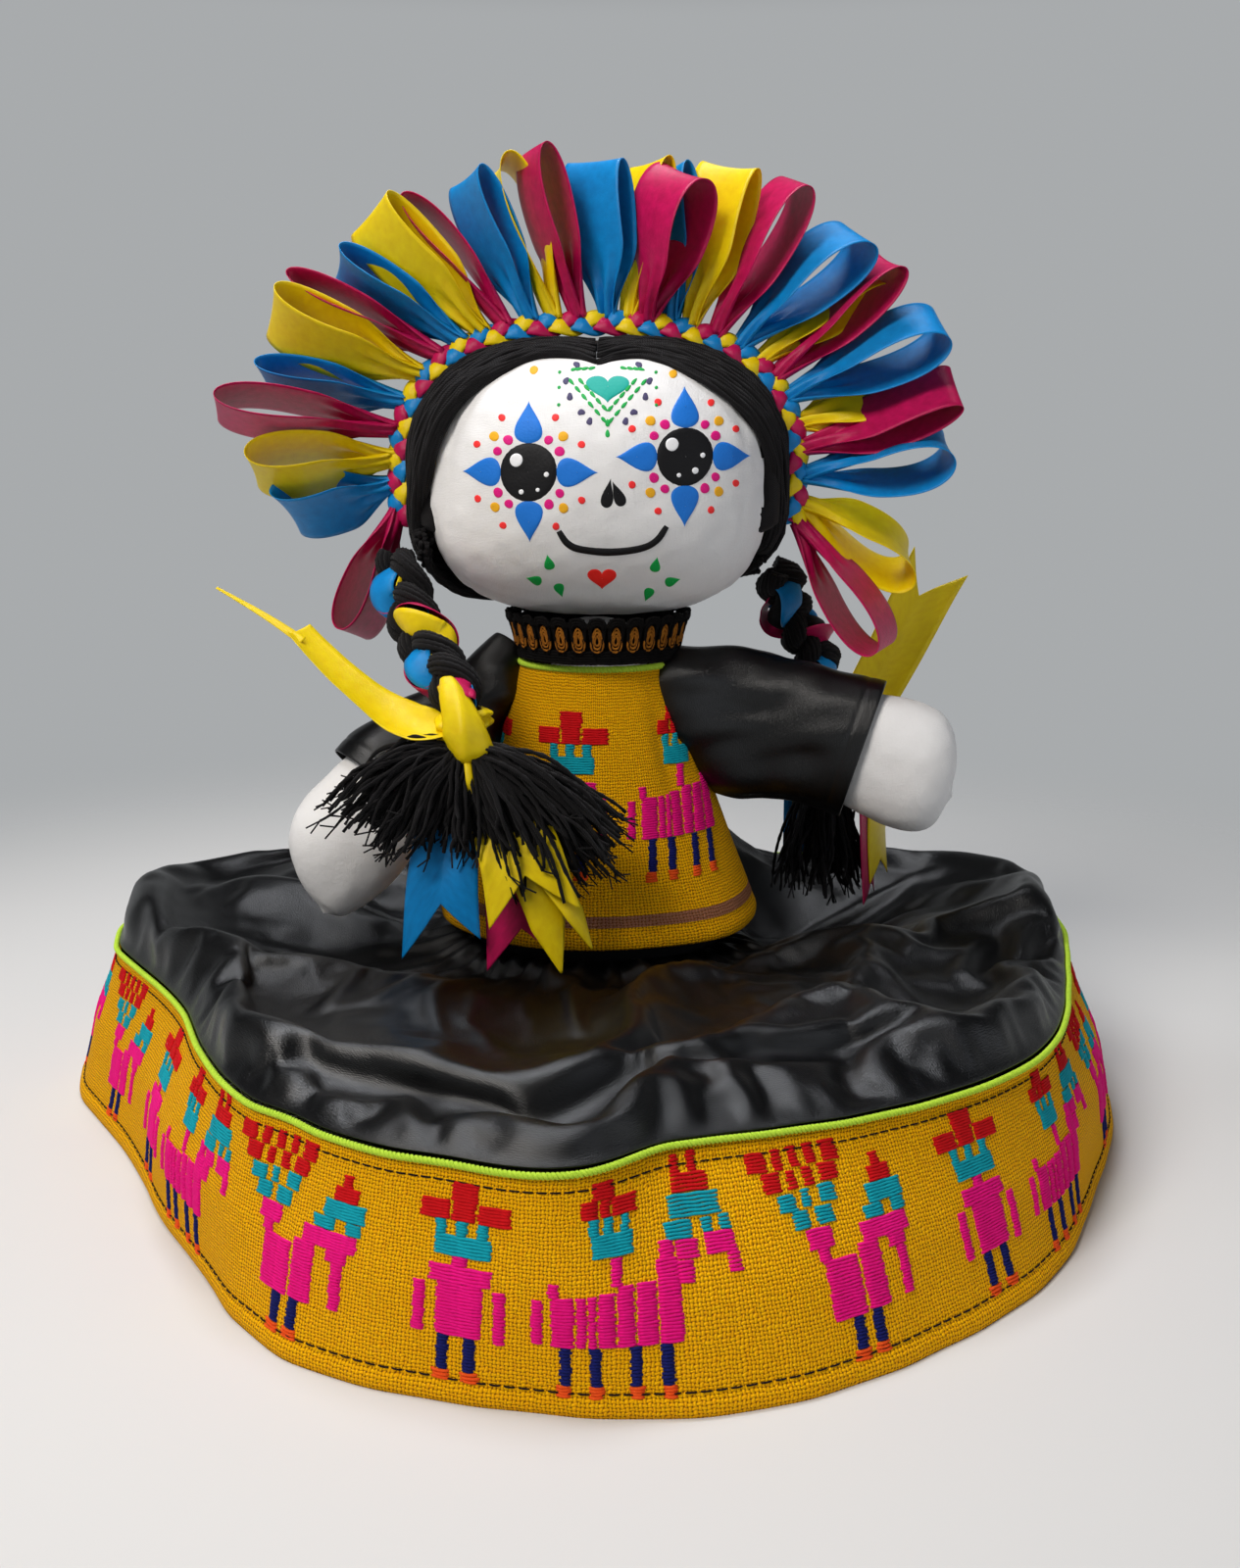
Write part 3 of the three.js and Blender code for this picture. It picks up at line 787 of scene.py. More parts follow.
RIGHT_BRAID = np.array(
    [[-60.5, -13.5, 176], [-58, -23, 162], [-50, -39, 149], [-42, -50, 141], [-39.5, -54, 134]]
)
LEFT_BRAID = np.array([[59, 16, 170], [63, 22, 156], [72, 28, 142], [78, 31, 124], [78, 31, 106]])


HAIR_STRANDS = 150  # on each side of the parting
GOLDEN_TURN = 2.399  # radians, which spreads the strands evenly round the braid's root


def make_hair(look):
    """Yarn laid down each side of the head, from the parting to the braid's root."""
    strands = Tubes()
    dice = np.random.default_rng(11)
    for side in (-1, 1):
        root = (braid_root(side) - HEAD_MIDDLE) / HAIR_HALF
        edge = smooth_path(RIGHT_HAIRLINE if side < 0 else LEFT_HAIRLINE, 62)
        halfway = edge[-1] * 0.5 + braid_root(side) * 0.5
        edge = np.concatenate([edge[:-8], smooth_path([edge[-8], halfway, braid_root(side)], 8)])
        edge = unit((edge - HEAD_MIDDLE) / HAIR_HALF)
        for k in range(HAIR_STRANDS):
            share = k / (HAIR_STRANDS - 1)
            tilt = PART_START + (PART_END - PART_START) * share
            start = np.array([side * 0.015, -math.cos(tilt), math.sin(tilt)])
            spread = GOLDEN_TURN * k
            gather = np.array([0.0, math.cos(spread), math.sin(spread)]) * 0.15 * math.sqrt(share)
            t = np.linspace(0, 1, 62)
            way = slerp(unit(start), unit(root + gather), t)
            back = min(share / 0.5, 1) ** 0.75
            way = unit(edge * (1 - back) + way * back)
            path = head_shape(way, HAIR_HALF)
            lift = (
                -0.9 - 3.2 * (1 - min(share / 0.16, 1)) ** 2 + 0.35 * dice.uniform(-1, 1) + 0.5
                * wobble(path, 26, 900 + k)
            )
            lift = lift - 1.6 * (1 - t) ** 6 + 1.2 * t**5 * dice.uniform(-1, 1)
            path = path + unit(way / HAIR_HALF) * np.broadcast_to(lift, t.shape)[:, None]
            strands.add(
                path, 0.8 * np.clip(6 * t + 0.55, 0, 1), sides=6, ply=0.2, pitch=3.0, start=dice.uniform()
            )
    dress(strands.piece("hair_strands"), look, "head", "hair")


def make_hair_cap(look):
    """The close dark layer under the strands, so that no cotton shows between them."""
    directions = ball_directions(60, 110)
    front = ramp(directions[..., 1], -0.34, 0.08)
    jaw = ramp(-directions[..., 2], 0.3, 0.12) * ramp(0.62 - directions[..., 1], 0, 0.15)
    points = head_shape(directions, HAIR_HALF - 2.2 - 3.6 * np.maximum(1 - front, 1.6 * jaw)[..., None])
    cap = weld(grid("hair_cap", points, close_u=True))
    flat_uvs(cap)
    mesh = cap.data
    keep = [v.co.y / MM > HAIR_FRONT - 4 for v in mesh.vertices]
    cut = bmesh.new()
    cut.from_mesh(mesh)
    cut.verts.ensure_lookup_table()
    bmesh.ops.delete(cut, geom=[v for v, kept in zip(cut.verts, keep) if not kept], context="VERTS")
    cut.to_mesh(mesh)
    cut.free()
    thicken(cap, 0.5, -1)
    dress(cap, look, "head")


def plait_route(path, up, index, half_width, depth, pitch, phase=0.0):
    """One strand's line in a plait that follows path, up being the direction that it faces."""
    _, side, rise = frame_along(path, up)
    turn = TAU * (lengths_along(path) / pitch + index / 3) + phase
    across = (half_width * np.sin(turn))[:, None] * side
    return path + across + (depth * np.sin(2 * turn))[:, None] * rise, rise


def yarn_bundle(tubes, path, up, radius, yarns, thick, pitch, dice):
    """A fat bundle of yarns lying round a line, each winding slowly round it."""
    _, side, rise = frame_along(path, up)
    arc = lengths_along(path)
    tubes.add(path, radius * 0.8, sides=8, up=up)
    for k in range(yarns):
        turn = TAU * (k / yarns + arc / pitch) + dice.uniform(-0.1, 0.1)
        reach = radius * (1 + dice.uniform(-0.08, 0.06))
        off = reach * (np.cos(turn)[:, None] * side + np.sin(turn)[:, None] * rise)
        tubes.add(path + off, thick, sides=6, up=up, ply=0.14, pitch=4.0, start=dice.uniform())


PLAIT_PITCH = 33.0  # one full turn of a braid's three strands
RIBBON_START = 16  # the ribbons join the braid at this point of its 150


def make_braid(name, route, face, looks, colours, phase, narrow):
    """Two bundles of yarn and one of ribbons in a three-strand plait."""
    path = smooth_path(route, 150)
    up = np.broadcast_to(np.asarray(face, float), path.shape)
    dice = np.random.default_rng(21)
    strands = Tubes()
    taper = 1 - narrow * np.linspace(0, 1, len(path)) ** 1.5
    for index in range(2):
        line, rise = plait_route(path, up, index, 4.6, 3.0, PLAIT_PITCH, phase)
        line = path + (line - path) * taper[:, None]
        yarn_bundle(strands, line, rise, 3.1, 13, 0.95, 44, dice)
    dress(strands.piece(name), looks["yarn"], name, name)
    line, rise = plait_route(path, up, 2, 5.0, 3.3, PLAIT_PITCH, phase)
    line = (path + (line - path) * taper[:, None])[RIBBON_START:]
    rise = rise[RIBBON_START:]
    forward, side, rise = frame_along(line, rise)
    core = Tubes()
    core.add(line, 2.8, sides=8, up=rise)
    dress(core.piece(name + "_core"), looks["yarn"], name)
    for k, colour in enumerate(colours):
        turn = TAU * (lengths_along(line) / 46 + k / 3) + phase
        off = np.cos(turn)[:, None] * side + np.sin(turn)[:, None] * rise
        ribbon(
            f"{name}_{colour}", line + off * 3.9, np.cross(off, forward), 9.0, looks, colour, name,
            columns=7, cup=0.16,
        )


def make_flap(name, route, width, look, body):
    """The front of the knot: the ribbon comes down over it, widening, and is tucked in below."""
    path = smooth_path(route, 46)
    t = np.linspace(0, 1, 46)[:, None]
    x = np.linspace(-1, 1, 27)
    half = np.interp(t[:, 0], (0, 0.3, 0.8, 1), width)[:, None] / 2
    forward = heading(path)
    across = unit(np.array([1.0, 0.12, -0.16]) - 0 * path)
    up = np.cross(forward, across)
    bulge = half * 0.75 * (1 - x**2) ** 0.8
    pleat = 0.3 * np.sin(x * 6 + 3.5 * t) * (0.35 + t)
    pleat = pleat + 0.45 * np.sin(t * 24 + 2.2 * x) * ramp(t, 0.62, 0.2)
    points = (
        path[:, None] + across[:, None] * (half * x)[..., None] + up[:, None] * (bulge + pleat)[..., None]
    )
    flap = grid(name, points)
    thicken(flap, 0.3)
    dress(flap, look, body)


def make_tie(side, look, tilt):
    """A ribbon wound twice round the braid's end and pulled tight, with its folds."""
    name = side + "_tie"
    low, high = box_of(name)
    centre, half = (low + high) / 2, (high - low) / 2
    turn = np.arange(72) * TAU / 72
    height = np.linspace(-1, 1, 26)[:, None]
    bulge = (1 - 0.34 * np.abs(height) ** 2.4) * (0.9 + 0.1 * np.cos(3 * math.pi * height + 2 * turn))
    reach = bulge + 0.05 * np.sin(5 * turn + 4 * height) + 0.035 * np.sin(11 * turn - 6 * height)
    points = np.stack([
        centre[0] + reach * half[0] * np.cos(turn) + tilt[0] * height,
        centre[1] + reach * half[1] * np.sin(turn) + tilt[1] * height,
        centre[2] + (half[2] + 2.0) * height + 1.8 * np.cos(turn - 0.6) * (1 - height**2),
    ], -1)
    tie = grid(name, points, close_u=True)
    thicken(tie, 0.6)
    round_off(tie)
    dress(tie, look, side + "_braid", name)


def make_tassel(side, knot, look, count, fan, reach, droop, depth, fullness, seed):
    """Loose yarn ends that fan out of a knot.

    fan is their spread in degrees from straight down, reach gives their length at places across that spread,
    and fullness is how far the yarns in front bow out.
    """
    dice = np.random.default_rng(seed)
    strands = Tubes()
    t = np.linspace(0, 1, 30)[:, None]
    clumps = dice.uniform(0, 1, (max(6, count // 9), 2))
    for k in range(count):
        share = ((k + dice.uniform(0, 1)) / count) ** 0.8
        clump = clumps[np.abs(clumps[:, 0] - share).argmin()]
        share = share * 0.45 + clump[0] * 0.55
        a = math.radians(fan[0] + (fan[1] - fan[0]) * share)
        sideways = math.sin(a)
        length = np.interp(share, np.linspace(0, 1, len(reach)), reach) * (
            1 - 0.42 * dice.uniform(0, 1) ** 1.7
        )
        layer = dice.uniform(-1, 1) * 0.6 + (clump[1] * 2 - 1) * 0.4
        out = depth * layer
        start = np.array(knot) + np.array(
            [sideways * 5 + dice.uniform(-2, 2), out * 0.45, dice.uniform(-2.5, 1.5)]
        )
        way = unit(np.array([sideways, out / length, -math.cos(a)]))
        path = start + way * length * t
        path[:, 2] += (3.5 * abs(sideways) * np.sin(math.pi * t**0.8))[:, 0]
        path[:, 1] -= (fullness * np.sin(math.pi * t**0.7) * (1 + layer) / 2)[:, 0]
        path[:, 2] -= (droop * abs(sideways) * t**2.2)[:, 0]
        bend = dice.normal(size=(3, 3)) * (1.5, 1.2, 1.5)
        path = path + bend[0] * np.sin(math.pi * t) + bend[1] * t * np.sin(TAU * t + share * 9) * 0.8
        path = path + bend[2] * 0.35 * t * np.sin(4 * math.pi * t + k)
        thick = 0.62 * dice.uniform(0.8, 1.15) * (1 - 0.25 * t[:, 0] ** 3)
        strands.add(path, thick, sides=6, ply=0.24, pitch=2.3, start=dice.uniform())
        for _ in range(2 if k % 3 == 0 else 0):
            tip = path[-1] + np.cumsum(unit(way + dice.normal(0, 0.35, 3)) * np.ones((6, 1)) * 0.75, axis=0)
            strands.add(np.vstack([path[-4:], tip]), 0.26, sides=4)
    name = side + "_tassel"
    dress(strands.piece(name), look, side + "_braid", name)


# ---------------------------------------------------------------- crown

CROWN_Y = middle_of("crown_braid")[1]
CROWN_OUT = 3.2  # the plait lies this far outside the hair
# For each loop: its root in degrees from the top, its aim in degrees from +X towards +Z, its length, how far
# it is open, its turn about its own length (0 shows the hole, 90 the flat) and its lean backwards. The three
# colours take turns, so each row here holds a magenta, a blue and a yellow loop.
LOOPS = (
    (-100, 249, 43, 6.5, 18, -10), (-91, 197, 38, 6.5, 40, 6), (-82, 184, 46, 8.0, 30, -4),
    (-72, 171, 57, 6.5, 22, -8), (-62, 169, 48, 5.0, 28, 9), (-52, 161, 51, 7.0, 42, -6),
    (-44, 154, 53, 5.0, 20, 6), (-37, 147, 47, 5.0, 30, 2), (-31, 135, 50, 6.0, 52, -7),
    (-24.5, 127, 50, 6.0, 14, 5), (-18, 115, 48, 5.0, 32, -2), (-11.5, 109, 51, 7.0, 14, 3),
    (-5, 107, 52, 5.5, 22, -4), (2.5, 92, 47, 5.0, 50, -5), (8, 80, 49, 5.0, 30, 8),
    (13.5, 77, 46, 10.0, 38, -14), (20, 85, 48, 5.0, 34, 13), (25, 75, 50, 5.5, 50, 0),
    (32, 62, 52, 7.0, 22, -6), (39, 46, 50, 9.0, 28, -3), (46, 38, 47, 5.0, 34, 10),
    (53, 42, 51, 6.5, 22, 0), (60, 24, 53, 9.0, 26, -7), (69, 12, 41, 5.5, 40, 11),
    (78, 15, 52, 5.5, 34, -7), (88, 8, 48, 10.0, 22, -3), (97, -28, 46, 9.0, 26, 12),
    (104, -55, 50, 8.0, 22, -12),
)
LOOP_COLOURS = ("magenta", "blue", "yellow")
RIBBON_WIDTH = 22.0


def crown_point(degrees, out):
    """The point on the crown's line this many degrees from the top, this far outside the hair."""
    a = np.radians(np.asarray(degrees, float))
    direction = np.stack([np.sin(a), 0 * a, np.cos(a)], -1)
    point = head_shape(direction, HAIR_HALF) + direction * out
    point[..., 1] = CROWN_Y
    return point


def make_crown_braid(looks):
    degrees = np.linspace(-106, 106, 420)
    path = crown_point(degrees, CROWN_OUT)
    path[:, 1] -= 0.6
    outward = unit(path - HEAD_MIDDLE)
    up = unit(outward * 0.5 + np.array([0, -1.0, 0]))
    plain = Tubes()
    plain.add(path + (0, 1.5, 0), 1.6, sides=8, up=up)
    dress(plain.piece("crown_plait_core"), looks["yarn"], "head", "crown_braid")
    for k, colour in enumerate(LOOP_COLOURS):
        line, rise = plait_route(path, up, k, 1.8, 1.1, 21)
        forward = heading(line)
        ribbon(
            f"crown_plait_{colour}", line, np.cross(rise, forward), 5.0, looks, colour, "head",
            columns=7, cup=0.28, thickness=0.3,
        )


def make_loops(looks):
    """Each loop is a ribbon folded back on itself and gathered where it is sewn to the crown."""
    t = np.linspace(0, 1, 91)[1:-1]
    columns = 15
    x = np.linspace(-1, 1, columns)
    for index, (root, aim, length, opening, turn, lean) in enumerate(LOOPS):
        colour = LOOP_COLOURS[index % 3]
        dice = np.random.default_rng(300 + index)
        a, b, c = math.radians(aim), math.radians(lean), math.radians(turn)
        out = np.array([math.cos(a) * math.cos(b), math.sin(b), math.sin(a) * math.cos(b)])
        flat = unit(np.cross(np.array([0, 1.0, 0]), out))
        depth = np.cross(out, flat)
        side = flat * math.cos(c) + depth * math.sin(c)
        wide = -flat * math.sin(c) + depth * math.cos(c)
        s = np.sin(math.pi * t)
        along = length * s**1.15
        across = -1.7 * opening * np.cos(math.pi * t) * s**1.3
        reach = along / length
        bend = dice.normal(0, 2.0) * reach**2
        sway = dice.normal(0, 1.6) * reach**2
        centre = out * along[:, None] + side * (across + bend)[:, None] + wide * sway[:, None]
        open_out = ramp(reach, 0.05, 0.46)
        open_out = open_out * open_out * (3 - 2 * open_out)
        half = 2.9 + (RIBBON_WIDTH / 2 - 2.9) * open_out
        pleat = 1.9 * (1 - open_out) * np.where(t < 0.5, 1, -1)
        forward = heading(centre)
        face = unit(np.cross(wide, forward))
        skew = dice.uniform(-0.12, 0.12) * (t - 0.5) * 2
        cup = dice.uniform(-0.7, 0.7) + 0.5
        points = (
            centre[:, None]
            + wide * (half[:, None] * x)[..., None]
            + face[:, None] * (
                pleat[:, None] * np.cos(2.5 * math.pi * x) + cup * open_out[:, None] * (1 - x**2)
            )[..., None]
            + out * (half * skew)[:, None, None] * x[None, :, None] * 2
        )
        start = crown_point(root, CROWN_OUT + 0.6)
        start[1] += 1.0 + 2.0 * math.sin(b)
        piece = grid(f"crown_loop_{index + 1:02d}", points + start, u=(x + 1) * RIBBON_WIDTH / 2)
        thicken(piece, 0.26)
        dress(piece, looks[colour], "head", f"crown_loop_{index + 1:02d}_{colour}")


# ---------------------------------------------------------------- arms and sleeves

class Limb:
    """The frame of an arm: its shoulder, the way it points, and the way across it as seen from in front."""

    def __init__(self, side):
        name = "left" if side > 0 else "right"
        self.name = name
        self.shoulder = np.array([side * 38.0, 2.0, 133.0])
        self.along = unit(np.array([76, -17, -24.0]) if side > 0 else np.array([-50, -30, -65.0]))
        self.across = unit(np.cross(self.along, [0, -1.0, 0]))
        self.toward = np.cross(self.across, self.along)

    def loft(self, profile, depth, turns, levels, power=2.3):
        """A closed section at each level. A profile's row is a place along the arm and its two edges."""
        profile = np.asarray(profile, float)
        s = np.linspace(profile[0, 0], profile[-1, 0], levels) if np.isscalar(levels) else np.asarray(levels)
        low, high = (np.interp(s, profile[:, 0], profile[:, k]) for k in (1, 2))
        turn = np.arange(turns) * TAU / turns
        c, r = np.cos(turn), np.sin(turn)
        c, r = np.sign(c) * np.abs(c) ** (2 / power), np.sign(r) * np.abs(r) ** (2 / power)
        middle, half = (low + high) / 2, (high - low) / 2
        across = middle[:, None] + half[:, None] * c
        toward = half[:, None] * depth * r
        return s, turn, across, toward

    def place(self, s, across, toward):
        s = np.broadcast_to(np.asarray(s, float), np.broadcast(across, toward, s).shape)
        return (
            self.shoulder
            + s[..., None] * self.along
            + np.asarray(across, float)[..., None] * self.across
            + np.asarray(toward, float)[..., None] * self.toward
        )


# Each row is a place along the arm, then its section's upper and lower edges across it.
ARM_PROFILES = {
    "left": [
        [-4, -4, 6], [4, -8, 11], [20, -11, 16], [38, -12.5, 20], [50, -13.6, 23], [60, -15.6, 24.6],
        [68, -15.4, 25.2], [74, -13.2, 24.6], [78.5, -8, 22.6], [81.4, -1, 19], [82.6, 6.5, 12.5],
    ],
    "right": [
        [-4, -6, 4], [4, -9, 8], [20, -11.5, 13], [36, -12.6, 18], [50, -13.6, 21.4], [62, -14.8, 23.4],
        [70, -14.2, 23], [77, -12.8, 19.4], [82.5, -11.0, 13.8], [86.6, -8.6, 6.4], [88.4, -5.2, -1.0],
    ],
}
SLEEVE_PROFILES = {
    "left": [
        [-20, -7, 7], [-10, -9.5, 16], [0, -12, 25], [10, -13.4, 30.5], [18, -14.5, 31.5], [27, -15.6, 29],
        [40, -17, 27.6], [52, -18.0, 27.4],
    ],
    "right": [
        [-16, -6, 6], [-6, -9.5, 9], [4, -12.5, 12], [14, -15.5, 15.5], [28, -18.5, 20.5], [38, -20, 23.6],
        [46, -20.5, 24.2],
    ],
}


def make_arm(side, look):
    """A stuffed arm that widens into a mitten-like hand, with the seam's pucker along its inner edge."""
    limb = Limb(side)
    profile = np.array(ARM_PROFILES[limb.name], float)
    levels = np.concatenate(
        [np.linspace(profile[0, 0], profile[-4, 0], 46), np.linspace(profile[-4, 0], profile[-1, 0], 22)[1:]]
    )
    smooth = smooth_path(profile, 220)
    s, turn, across, toward = limb.loft(smooth, 0.74, 72, levels)
    seam = hill(np.sin(turn), 0, 0.13) * (np.cos(turn) < 0.2) + 0 * s[:, None]
    tail = ramp(s, 60, 24)[:, None]
    pucker = 0.25 * np.sin(s * 1.9)[:, None] * seam * tail
    toward = toward * (1 - 0.1 * seam * tail) + pucker
    points = limb.place(s[:, None], across, toward)
    lumps = 0.4 * wobble(points, 30, 31 + side) + 0.13 * wobble(points, 8, 33 + side)
    outward = unit(points - points.mean(1, keepdims=True))
    points = points + outward * lumps[..., None]
    cap = points[-1].mean(0) + limb.along * 0.5
    rounds = [points]
    for share in (0.7, 0.35, 0.02):
        rounds.append((cap + (points[-1] - cap) * share + limb.along * 0.5 * (1 - share))[None])
    start = points[0].mean(0)
    rounds.insert(0, (start + (points[0] - start) * 0.02)[None])
    arm = weld(grid(limb.name + "_arm_cotton", np.concatenate(rounds), close_u=True), 0.05)
    flat_uvs(arm)
    dress(arm, look, limb.name + "_arm", limb.name + "_arm")


def make_sleeve(side, look):
    """A wide satin sleeve, gathered where it meets the bodice and hemmed at its cuff."""
    limb = Limb(side)
    profile = smooth_path(SLEEVE_PROFILES[limb.name], 120)
    s, turn, across, toward = limb.loft(profile, 0.7, 110, 70, power=2.1)
    cuff = s[-1]
    body = np.clip((s - s[0]) / 14, 0.2, 1)[:, None]
    forward = 13.0 if side > 0 else 4.0
    front = (1 + toward / np.abs(toward).max(1, keepdims=True)) / 2
    toward = toward + forward * hill(s, -14, 19)[:, None] * front - 1.5 * (1 - front)
    points = limb.place(s[:, None] + 0 * turn, across, toward)
    outward = unit(points - points.mean(1, keepdims=True))
    folds = wobble(points * (0.4, 1, 1.4), 30, 51 + side) * 2.1 + wobble(
        points * (0.5, 1, 1.7), 14, 53 + side
    ) * 0.7
    fade = np.clip((cuff - s) / 18, 0.25, 1)[:, None]
    hem = 0.35 * hill(s - cuff, -5.2, 0.45)[:, None]
    points = points + outward * (folds * fade * body - hem)[..., None]
    sleeve = grid(limb.name + "_sleeve_satin", points, close_u=True)
    wear(sleeve, look)
    thicken(sleeve, 0.7, -1)
    round_off(sleeve)
    settle(sleeve)
    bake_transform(sleeve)
    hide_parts(limb.name + "_sleeve")


# ---------------------------------------------------------------- blouse

PANEL_LOW, PANEL_HIGH = box_of("front_panel")
BODICE_DEPTH = -PANEL_LOW[1] / PANEL_HIGH[0]
PANEL_ENDS = (-94.0, 94.0)  # the panel runs round the front between these, in degrees from straight ahead


def bodice_radius(z):
    """The bodice's half width at a height, read from the frame's own panel."""
    tree = tree_of(frame["nodes"]["front_panel"])
    heights = np.linspace(PANEL_LOW[2] + 0.3, PANEL_HIGH[2] - 0.3, 40)
    reach = [-struck(tree, (0, -150, h), (0, 1, 0))[0][1] / BODICE_DEPTH for h in heights]
    return np.interp(z, heights, reach)


def bodice_point(degrees, z, radius, out=0.0):
    a = np.radians(degrees)
    r = radius + out
    return np.stack([r * np.sin(a), -r * BODICE_DEPTH * np.cos(a), z + 0 * a], -1)


def panel_relief(degrees, z):
    """How far the panel stands out from the plain bodice: its creases and its rolled hem."""
    from_hem = z - PANEL_LOW[2]
    crease = 43 - 0.10 * (z - 100)
    relief = -1.9 * hill(degrees, crease, 7) * hill(z, 112, 16)
    relief += 2.6 * hill(degrees, 46, 18) * hill(from_hem, 0, 14)
    relief += 1.2 * hill(degrees, -20, 26) * hill(from_hem, 0, 12)
    hem = 0.75 * hill(from_hem, 2.2, 2.2) - 0.35 * hill(from_hem, 5.4, 0.5)
    return relief + hem


class Panel:
    """The front panel as a cloth with its own lengths: u round from the middle and v up from the hem."""

    def __init__(self):
        self.z = np.linspace(PANEL_LOW[2], PANEL_HIGH[2], 90)
        self.degrees = np.linspace(*PANEL_ENDS, 170)
        self.radius = bodice_radius(self.z)
        degrees, z = self.degrees[None], self.z[:, None]
        self.points = bodice_point(degrees, z, self.radius[:, None], panel_relief(degrees, z))
        middle = len(self.degrees) // 2
        self.v = lengths_along(self.points[:, middle : middle + 1])
        self.u = np.zeros(self.points.shape[:2])
        self.u[:, 1:] = np.cumsum(np.linalg.norm(np.diff(self.points, axis=1), axis=2), 1)
        self.u -= self.u[:, middle : middle + 1]

    def at(self, u, v, out):
        """The point at cloth coordinates u, v, and the direction that the cloth faces there."""
        i = int(np.clip(np.interp(np.mean(v), self.v, np.arange(len(self.v))), 0, len(self.v) - 1))
        degrees = np.interp(u, self.u[i], self.degrees)
        z = np.interp(v, self.v, self.z)
        radius = np.interp(z, self.z, self.radius)
        a = np.radians(degrees)
        facing = unit(np.stack([np.sin(a), -np.cos(a), 0 * a + 0.25], -1))
        return bodice_point(
            degrees, z, radius, panel_relief(degrees, z)
        ) + facing * np.asarray(out)[..., None], facing


def make_panel(looks):
    cloth = Panel()
    u = cloth.degrees / 90 * cloth.u[len(cloth.z) // 3, -1]
    panel = grid("front_panel_cloth", cloth.points, u=u, v=cloth.v)
    thicken(panel, 0.9, -1)
    dress(panel, looks["panel"], "torso", "front_panel")
    edge = cloth.points[-1] + (0, 0, 0.2)
    twisted_edge("panel_edging", edge, looks["lime"], 0.62, 2.3, "panel_trim")
    stitches = Embroidery("panel_figures", cloth.at)
    stitches.figure(HAT_MAN, -19.8, 21.6, (1.05, 1.15))
    stitches.figure(RIDER, 8.5, 20.4, (1.05, 1.15))
    stitches.figure(HAT_MAN, -56.5, 21.6, (1.05, 1.15))
    stitches.finish(looks, "torso")


def make_blouse_back(look):
    z = np.linspace(box_of("blouse_back")[0][2], box_of("blouse_back")[1][2], 70)
    degrees = np.linspace(PANEL_ENDS[1] - 24, 360 + PANEL_ENDS[0] + 24, 150)
    radius = bodice_radius(z)[:, None]
    under = ramp(np.abs(degrees - 180), 84, 6)
    base = bodice_point(degrees[None], z[:, None], radius)
    low = ramp(110 - z, 0, 50)[:, None]
    folds = (0.7 + 1.5 * low) * np.sin(degrees * 0.19 + 1.3 * np.sin(z / 17)[:, None]) + wobble(base, 22, 71)
    points = bodice_point(degrees[None], z[:, None], radius, folds * (1 - under) - 1.3 * under)
    back = grid("blouse_back_cloth", points)
    thicken(back, 0.6, -1)
    dress(back, look, "torso", "blouse_back")


def twisted_edge(name, path, look, radius, pitch, node):
    """A crocheted edging: two fat threads twisted round each other along a path."""
    fine = np.linspace(0, 1, int(lengths_along(path)[-1] / 0.32))
    arc = lengths_along(path) / lengths_along(path)[-1]
    path = read_along(arc, path, fine)
    up = np.array([0, 0, 1.0])
    _, side, rise = frame_along(path, up)
    turn = TAU * lengths_along(path) / pitch
    threads = Tubes()
    for k in range(2):
        off = np.cos(turn + k * math.pi)[:, None] * rise + np.sin(turn + k * math.pi)[:, None] * side
        threads.add(path + off * radius * 0.9, radius, sides=6, up=up)
    dress(threads.piece(name), look, "torso", node)


